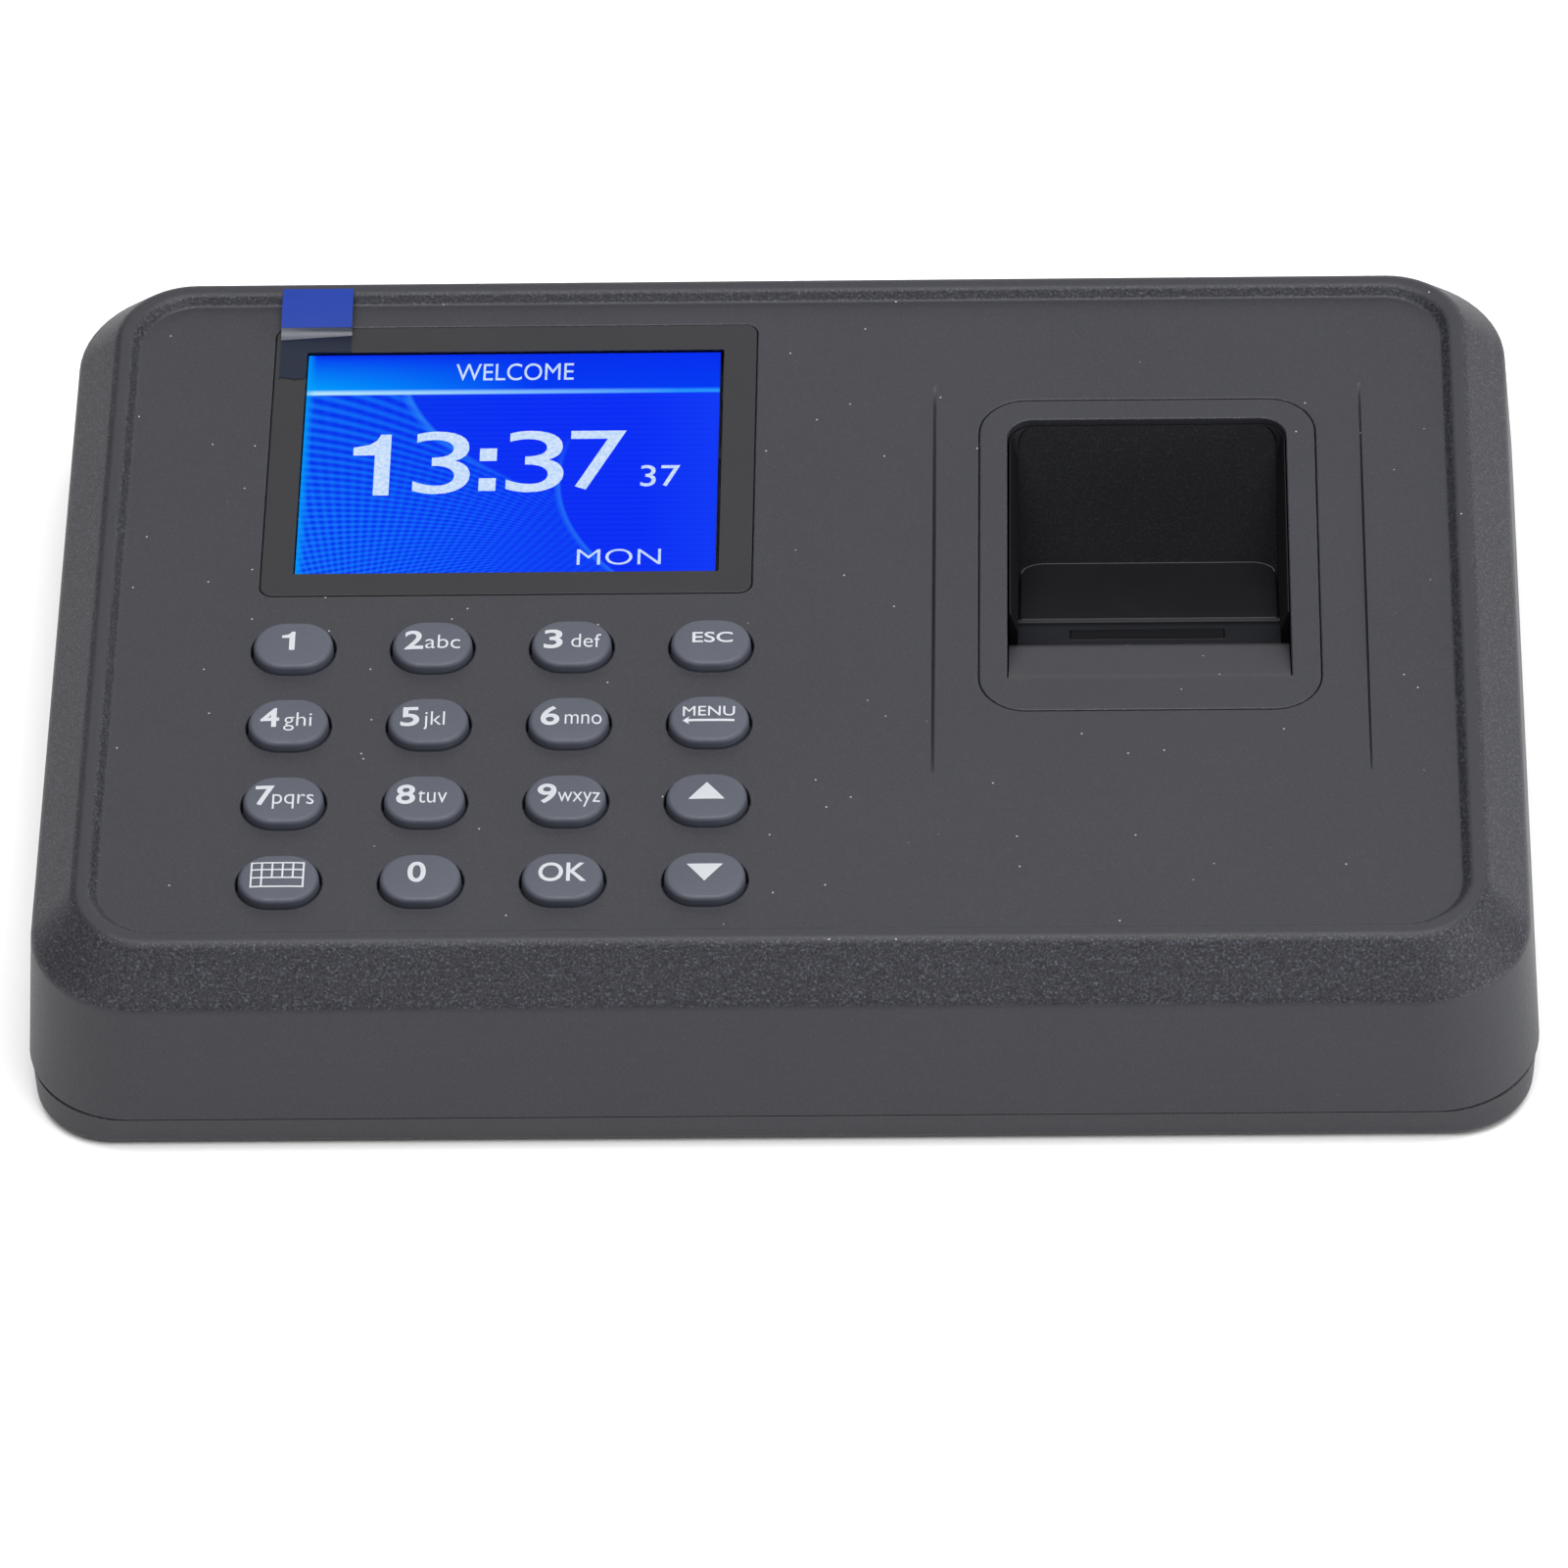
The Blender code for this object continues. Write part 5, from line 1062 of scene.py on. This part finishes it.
def glass_point(along, depth):
    """A point (y, z) of the tilted sensor glass: a distance along its slope and a depth under it."""
    slope = Vector((GLASS_FAR[0] - GLASS_NEAR[0], GLASS_FAR[1] - GLASS_NEAR[1])).normalized()
    return (GLASS_NEAR[0] + along * slope[0] + depth * slope[1],
            BASE_Z + GLASS_NEAR[1] + along * slope[1] - depth * slope[0])


def make_well():
    """The black well: eased lip, side walls, trench, sloping platform, slanted back and screw ears."""
    low, high = WELL.low.z, WELL.high.z
    back = WELL.high.y
    trench, shelf = BASE_Z + TRENCH_Z, BASE_Z + WELL_SHELF
    half = (MOUTH_X[1] - MOUTH_X[0]) / 2 - 0.2
    sides = (WELL.centre.x - half, WELL.centre.x + half)
    foot = (BACK_FOOT[0], BASE_Z + BACK_FOOT[1])
    step, front = TRENCH_FRONT + SHELF_STEP, TRENCH_FRONT - WELL_FRONT
    outer = [(step, high), (back, high), (back, high - 1.2), (foot[0] + 1.5, low), (front, low),
             (front, shelf), (step, shelf)]
    plan = prism(well_outline(0.0, back), low - 1.0, high + 1.0)
    body = carve(prism(outer, *sides, axis="X"), "INTERSECT", plan)
    ear = Place("well_screw_left").centre, Place("well_screw_right").centre
    ears = [block(x, (EAR_Y - EAR_HALF_Y, EAR_Y + EAR_HALF_Y), (BASE_Z + EAR_Z[0], BASE_Z + EAR_Z[1]))
            for x in ((ear[0].x - EAR_HALF_X, sides[0] + 0.5), (sides[1] - 0.5, ear[1].x + EAR_HALF_X))]
    body = carve(body, "UNION", *ears)
    support = GLASS_THICKNESS + 0.3
    length = math.dist(GLASS_NEAR, GLASS_FAR)
    inner_back = back - WELL_LIP
    back_slope = (inner_back - foot[0]) / (high - foot[1])
    brow = glass_point(GLASS_START - 0.1, 0.0)
    cavity = [(TRENCH_FRONT, high + 1.0), (inner_back + back_slope, high + 1.0), foot,
              (glass_point(length, support)[0], foot[1] + 0.05), glass_point(GLASS_START - 0.1, support),
              brow, (PLATFORM_FRONT, brow[1] + 0.1), (PLATFORM_FRONT, trench), (TRENCH_FRONT, trench)]
    hollow = carve(prism(cavity, sides[0] + WELL_WALL, sides[1] - WELL_WALL, axis="X"), "INTERSECT",
                   prism(well_outline(WELL_WALL, inner_back), low - 1.0, high + 2.0))
    body = carve(body, "DIFFERENCE", hollow)
    lip = loft([level(well_outline(WELL_WALL, inner_back - LIP_DEPTH * back_slope), high - LIP_DEPTH),
                level(well_outline(WELL_LIP, inner_back), high),
                level(well_outline(WELL_LIP, inner_back), high + 0.5)])
    body = carve(body, "DIFFERENCE", lip)
    strip = Place("finger_detect_window")
    gap = 0.1
    pocket = block((strip.low.x - gap, strip.high.x + gap), (PLATFORM_FRONT - 1.0, PLATFORM_FRONT + 0.8),
                   (strip.low.z - gap, strip.high.z + gap))
    aperture = block((WELL.centre.x - APERTURE_HALF, WELL.centre.x + APERTURE_HALF), APERTURE_Y,
                     (low - 1.0, BASE_Z + 19.0))
    holes = [prism(circle(EAR_HOLE, at.xy), BASE_Z + EAR_Z[0] - 1.0, BASE_Z + EAR_Z[1] + 1.2) for at in ear]
    body = carve(body, "DIFFERENCE", pocket, aperture, *holes)
    piece("well_body", body, BLACK_PLASTIC, replaces=["scanner_well"], smooth=30.0)


def make_sensor_glass():
    """The sloping sensor glass, round at its far corners, with a thin pale strip round its far end that is a
    painted highlight.
    """
    length = math.dist(GLASS_NEAR, GLASS_FAR)
    half = (MOUTH_X[1] - MOUTH_X[0]) / 2 - 0.2 - WELL_WALL - 0.2

    def plan(inset):
        """Outline on the glass; its near end moves in less than its other sides."""
        near, far = GLASS_START + inset * 0.2, length - inset
        radius = GLASS_RADIUS - inset
        return rounded_rectangle(half - inset, (far - near) / 2, (radius, radius, 0.2, 0.2),
                                 (0.0, (near + far) / 2))

    rings = [[(WELL.centre.x + x, *glass_point(y, depth)) for x, y in plan(inset)]
             for inset, depth in GLASS_EDGE]
    piece("sensor_glass_plate", loft(rings), SENSOR_GLASS, replaces=["sensor_window"],
          smooth=50.0)
    # Painted highlight: a thin pale strip laid just over the glass round its far end.
    far_arc = 2 * (CORNER_STEPS + 1)
    outer, inner = [plan(inset)[:far_arc] for inset in GLASS_RIM]
    rows = []
    for out, within in zip(outer, inner):
        corners = ((out, 0.02), (within, 0.02), (within, -0.02), (out, -0.02))
        rows.append([(WELL.centre.x + x, *glass_point(y, depth)) for (x, y), depth in corners])
    piece("sensor_glass_painted_highlight", loft(rows), GLASS_HIGHLIGHT_FINISH, smooth=0)


# ---------------------------------------------------------------- rear cover

def keyhole_outline(x):
    """A wall screw's keyhole: a round head entry with a slot running from it to a round end."""
    meet = math.asin(KEYHOLE_SLOT / KEYHOLE_HEAD)
    points = []
    for radius, y, start, turn, steps in (
            (KEYHOLE_HEAD, KEYHOLE_Y, math.pi / 2 + meet, math.tau - 2 * meet, 28),
            (KEYHOLE_SLOT, KEYHOLE_Y + KEYHOLE_LENGTH, 0.0, math.pi, 12)):
        for step in range(steps + 1):
            angle = start + turn * step / steps
            points.append((x + radius * math.cos(angle), y + radius * math.sin(angle)))
    return points


def pocket_outline(x, radius):
    """A long round-ended outline over a whole keyhole."""
    middle = KEYHOLE_Y + KEYHOLE_LENGTH / 2
    return rounded_rectangle(radius, KEYHOLE_LENGTH / 2 + radius, radius - 0.01, (x, middle))


def make_cover():
    """The rear tray: rounded base, tongue, screw pillars, feet pockets, speaker grille and keyholes."""
    outside = rounded_levels(COVER_PROFILE)
    outside[-1] = (0.0, COVER_PROFILE[-1][1], COVER_PROFILE[-1][2] - LIP_CHAMFER)
    outside.append((LIP_CHAMFER, COVER_PROFILE[-1][1], COVER_PROFILE[-1][2]))
    mesh = loft(casing_rings(outside + list(COVER_INSIDE), COVER.half, BASE_Z))
    screws = [Place(f"casing_screw_{n}").centre.xy for n in range(1, 7)]
    feet = [Place(f"rubber_foot_{n}").centre.xy for n in range(1, 5)]
    keyholes = (-KEYHOLE_SPACING / 2, KEYHOLE_SPACING / 2)
    floor = BASE_Z + COVER_FLOOR
    buried, pocket_top = BASE_Z + COVER_FLOOR - 1.0, BASE_Z + POCKET_TOP + POCKET_WALL
    raised = [prism(circle(PILLAR_RADIUS, at), buried, BASE_Z + PILLAR_TOP) for at in screws]
    raised += [prism(pocket_outline(x, POCKET_RADIUS + POCKET_WALL), buried, pocket_top) for x in keyholes]
    mesh = carve(mesh, "UNION", *raised)
    rooms = [prism(circle(PILLAR_HOLE, at), floor - 0.1, BASE_Z + PILLAR_TOP + 1.0) for at in screws]
    rooms += [prism(pocket_outline(x, POCKET_RADIUS), floor, BASE_Z + POCKET_TOP) for x in keyholes]
    mesh = carve(mesh, "DIFFERENCE", *rooms)
    rounds = [(at, *SCREW_SINK, 40) for at in screws] + [(at, *FOOT_SINK, 56) for at in feet]
    rounds += [(at, GRILLE_HOLE, HOLE_TOP, 24) for at in grille_places()]
    cuts = [flared_hole(lambda grow: circle(radius + grow, at, steps), BASE_Z + depth)
            for at, radius, depth, steps in rounds]
    cuts += [flared_hole(lambda grow: [(x + u, v) for u, v in grown(keyhole_outline(0.0), grow)],
                         BASE_Z + HOLE_TOP) for x in keyholes]
    mesh = carve(mesh, "DIFFERENCE", *cuts)
    weigh_normals(piece("casing_rear", mesh, REAR_PLASTIC, replaces=["rear_cover"]))


def grown(outline, margin):
    """An outline moved outwards along its corners' normals."""
    count = len(outline)
    result = []
    for index, point in enumerate(outline):
        along = Vector(outline[(index + 1) % count]) - Vector(outline[index - 1])
        outward = Vector((along.y, -along.x)).normalized()
        result.append(tuple(Vector(point) + outward * margin))
    return result


def flared_hole(outline, high):
    """A cutter for a hole in the base, its edge eased. outline(margin) gives its points."""
    clear = outline(HOLE_FLARE + CUT_MARGIN)
    rings = [level(clear, BASE_Z - 2.0), level(clear, BASE_Z - 0.05)]
    for up, across in eased(HOLE_FLARE, 3):
        rings.append(level(outline(across), BASE_Z + up))
    rings.append(level(outline(0.0), high))
    return loft(rings)


def grille_places():
    """Centres of the speaker grille's holes: a hexagon of rings over the speaker."""
    middle = Place("speaker").centre
    for row in range(-2, 3):
        count = 5 - abs(row)
        y = middle.y + row * GRILLE_PITCH * 0.75 ** 0.5
        for column in range(count):
            yield middle.x + (column - (count - 1) / 2) * GRILLE_PITCH, y


def make_casing_screws():
    """Pan-head screws with a cross recess."""
    for number in range(1, 7):
        place = Place(f"casing_screw_{number}")
        x, y = place.centre.xy
        low, radius = place.low.z, place.half.x
        profile = [(radius * 0.7, low)]
        profile += [(radius - down, low + up) for up, down in eased(SCREW_ROUND, 6) if up > 0]
        profile += [(radius, low + SCREW_HEAD), (SCREW_SHANK, low + SCREW_HEAD),
                    (SCREW_SHANK, place.high.z - 1.0), (SCREW_TIP, place.high.z)]
        head = loft([level(circle(r, (x, y), 36), z) for r, z in profile])
        for half_x, half_y in (CROSS_ARM, CROSS_ARM[::-1]):
            wide = rectangle(x - half_x, x + half_x, y - half_y, y + half_y)
            deep = [(x + (u - x) * CROSS_TAPER, y + (v - y) * CROSS_TAPER) for u, v in wide]
            arm = loft([level(wide, low - 0.1), level(deep, low + CROSS_DEPTH)])
            head = carve(head, "DIFFERENCE", arm)
        piece(f"cover_screw_{number}", head, SHARED["screw_steel"],
              replaces=[f"casing_screw_{number}"])


# ---------------------------------------------------------------- stage

def make_stage():
    """Floor, soft lights and the camera."""
    floor_finish = Finish("floor_paper", (0.93, 0.93, 0.93), 0.9)
    floor_finish.link(floor_finish.shades(floor_finish.noise(300.0), 0.99, 1.01), "Base Color")
    disc = circle(FLOOR_RADIUS, steps=64)
    floor = bpy.data.objects.new("floor", loft([level(disc, -20.0), level(disc, 0.0)]))
    floor.data.materials.append(floor_finish.material)
    bpy.context.scene.collection.objects.link(floor)
    world = bpy.data.worlds.new("studio")
    world.use_nodes = True
    backdrop = world.node_tree.nodes["Background"]
    backdrop.inputs["Color"].default_value = (1.0, 1.0, 1.0, 1.0)
    backdrop.inputs["Strength"].default_value = WORLD_STRENGTH
    bpy.context.scene.world = world
    for name, at, size, power in LAMPS:
        lamp = bpy.data.lights.new(name, "AREA")
        lamp.shape = "RECTANGLE"
        lamp.size, lamp.size_y = size[0] * MM, size[1] * MM
        lamp.energy = power
        light = bpy.data.objects.new(name, lamp)
        light.location = Vector(at) * MM
        light.rotation_euler = (-Vector(at)).to_track_quat("-Z", "Y").to_euler()
        bpy.context.scene.collection.objects.link(light)
    make_camera()
    bpy.context.scene.view_settings.view_transform = "Standard"


def make_camera():
    """A long lens looking down on the front edge, level apart from a slight roll."""
    azimuth, elevation = math.radians(CAMERA_AZIMUTH), math.radians(CAMERA_ELEVATION)
    roll = math.radians(CAMERA_ROLL)
    back = Vector((math.sin(azimuth) * math.cos(elevation), -math.cos(azimuth) * math.cos(elevation),
                   math.sin(elevation)))
    right = (-back).cross(Vector((0.0, 0.0, 1.0))).normalized()
    up = right.cross(-back)
    rolled_right = math.cos(roll) * right + math.sin(roll) * up
    rolled_up = -math.sin(roll) * right + math.cos(roll) * up
    data = bpy.data.cameras.new("camera")
    data.sensor_width = SENSOR
    data.lens = FOCAL_PER_SIDE * SENSOR
    data.clip_start = 0.05
    data.clip_end = 20.0
    camera = bpy.data.objects.new("camera", data)
    axes = Matrix((rolled_right, rolled_up, back)).transposed().to_4x4()
    camera.matrix_world = Matrix.Translation((Vector(CAMERA_TARGET) + back * CAMERA_DISTANCE) * MM) @ axes
    bpy.context.scene.collection.objects.link(camera)
    bpy.context.scene.camera = camera


finish_carried_nodes()
make_front()
make_keys()
make_legends()
make_window()
make_screen()
make_film()
make_bezel()
make_well()
make_sensor_glass()
make_cover()
make_casing_screws()
make_stage()
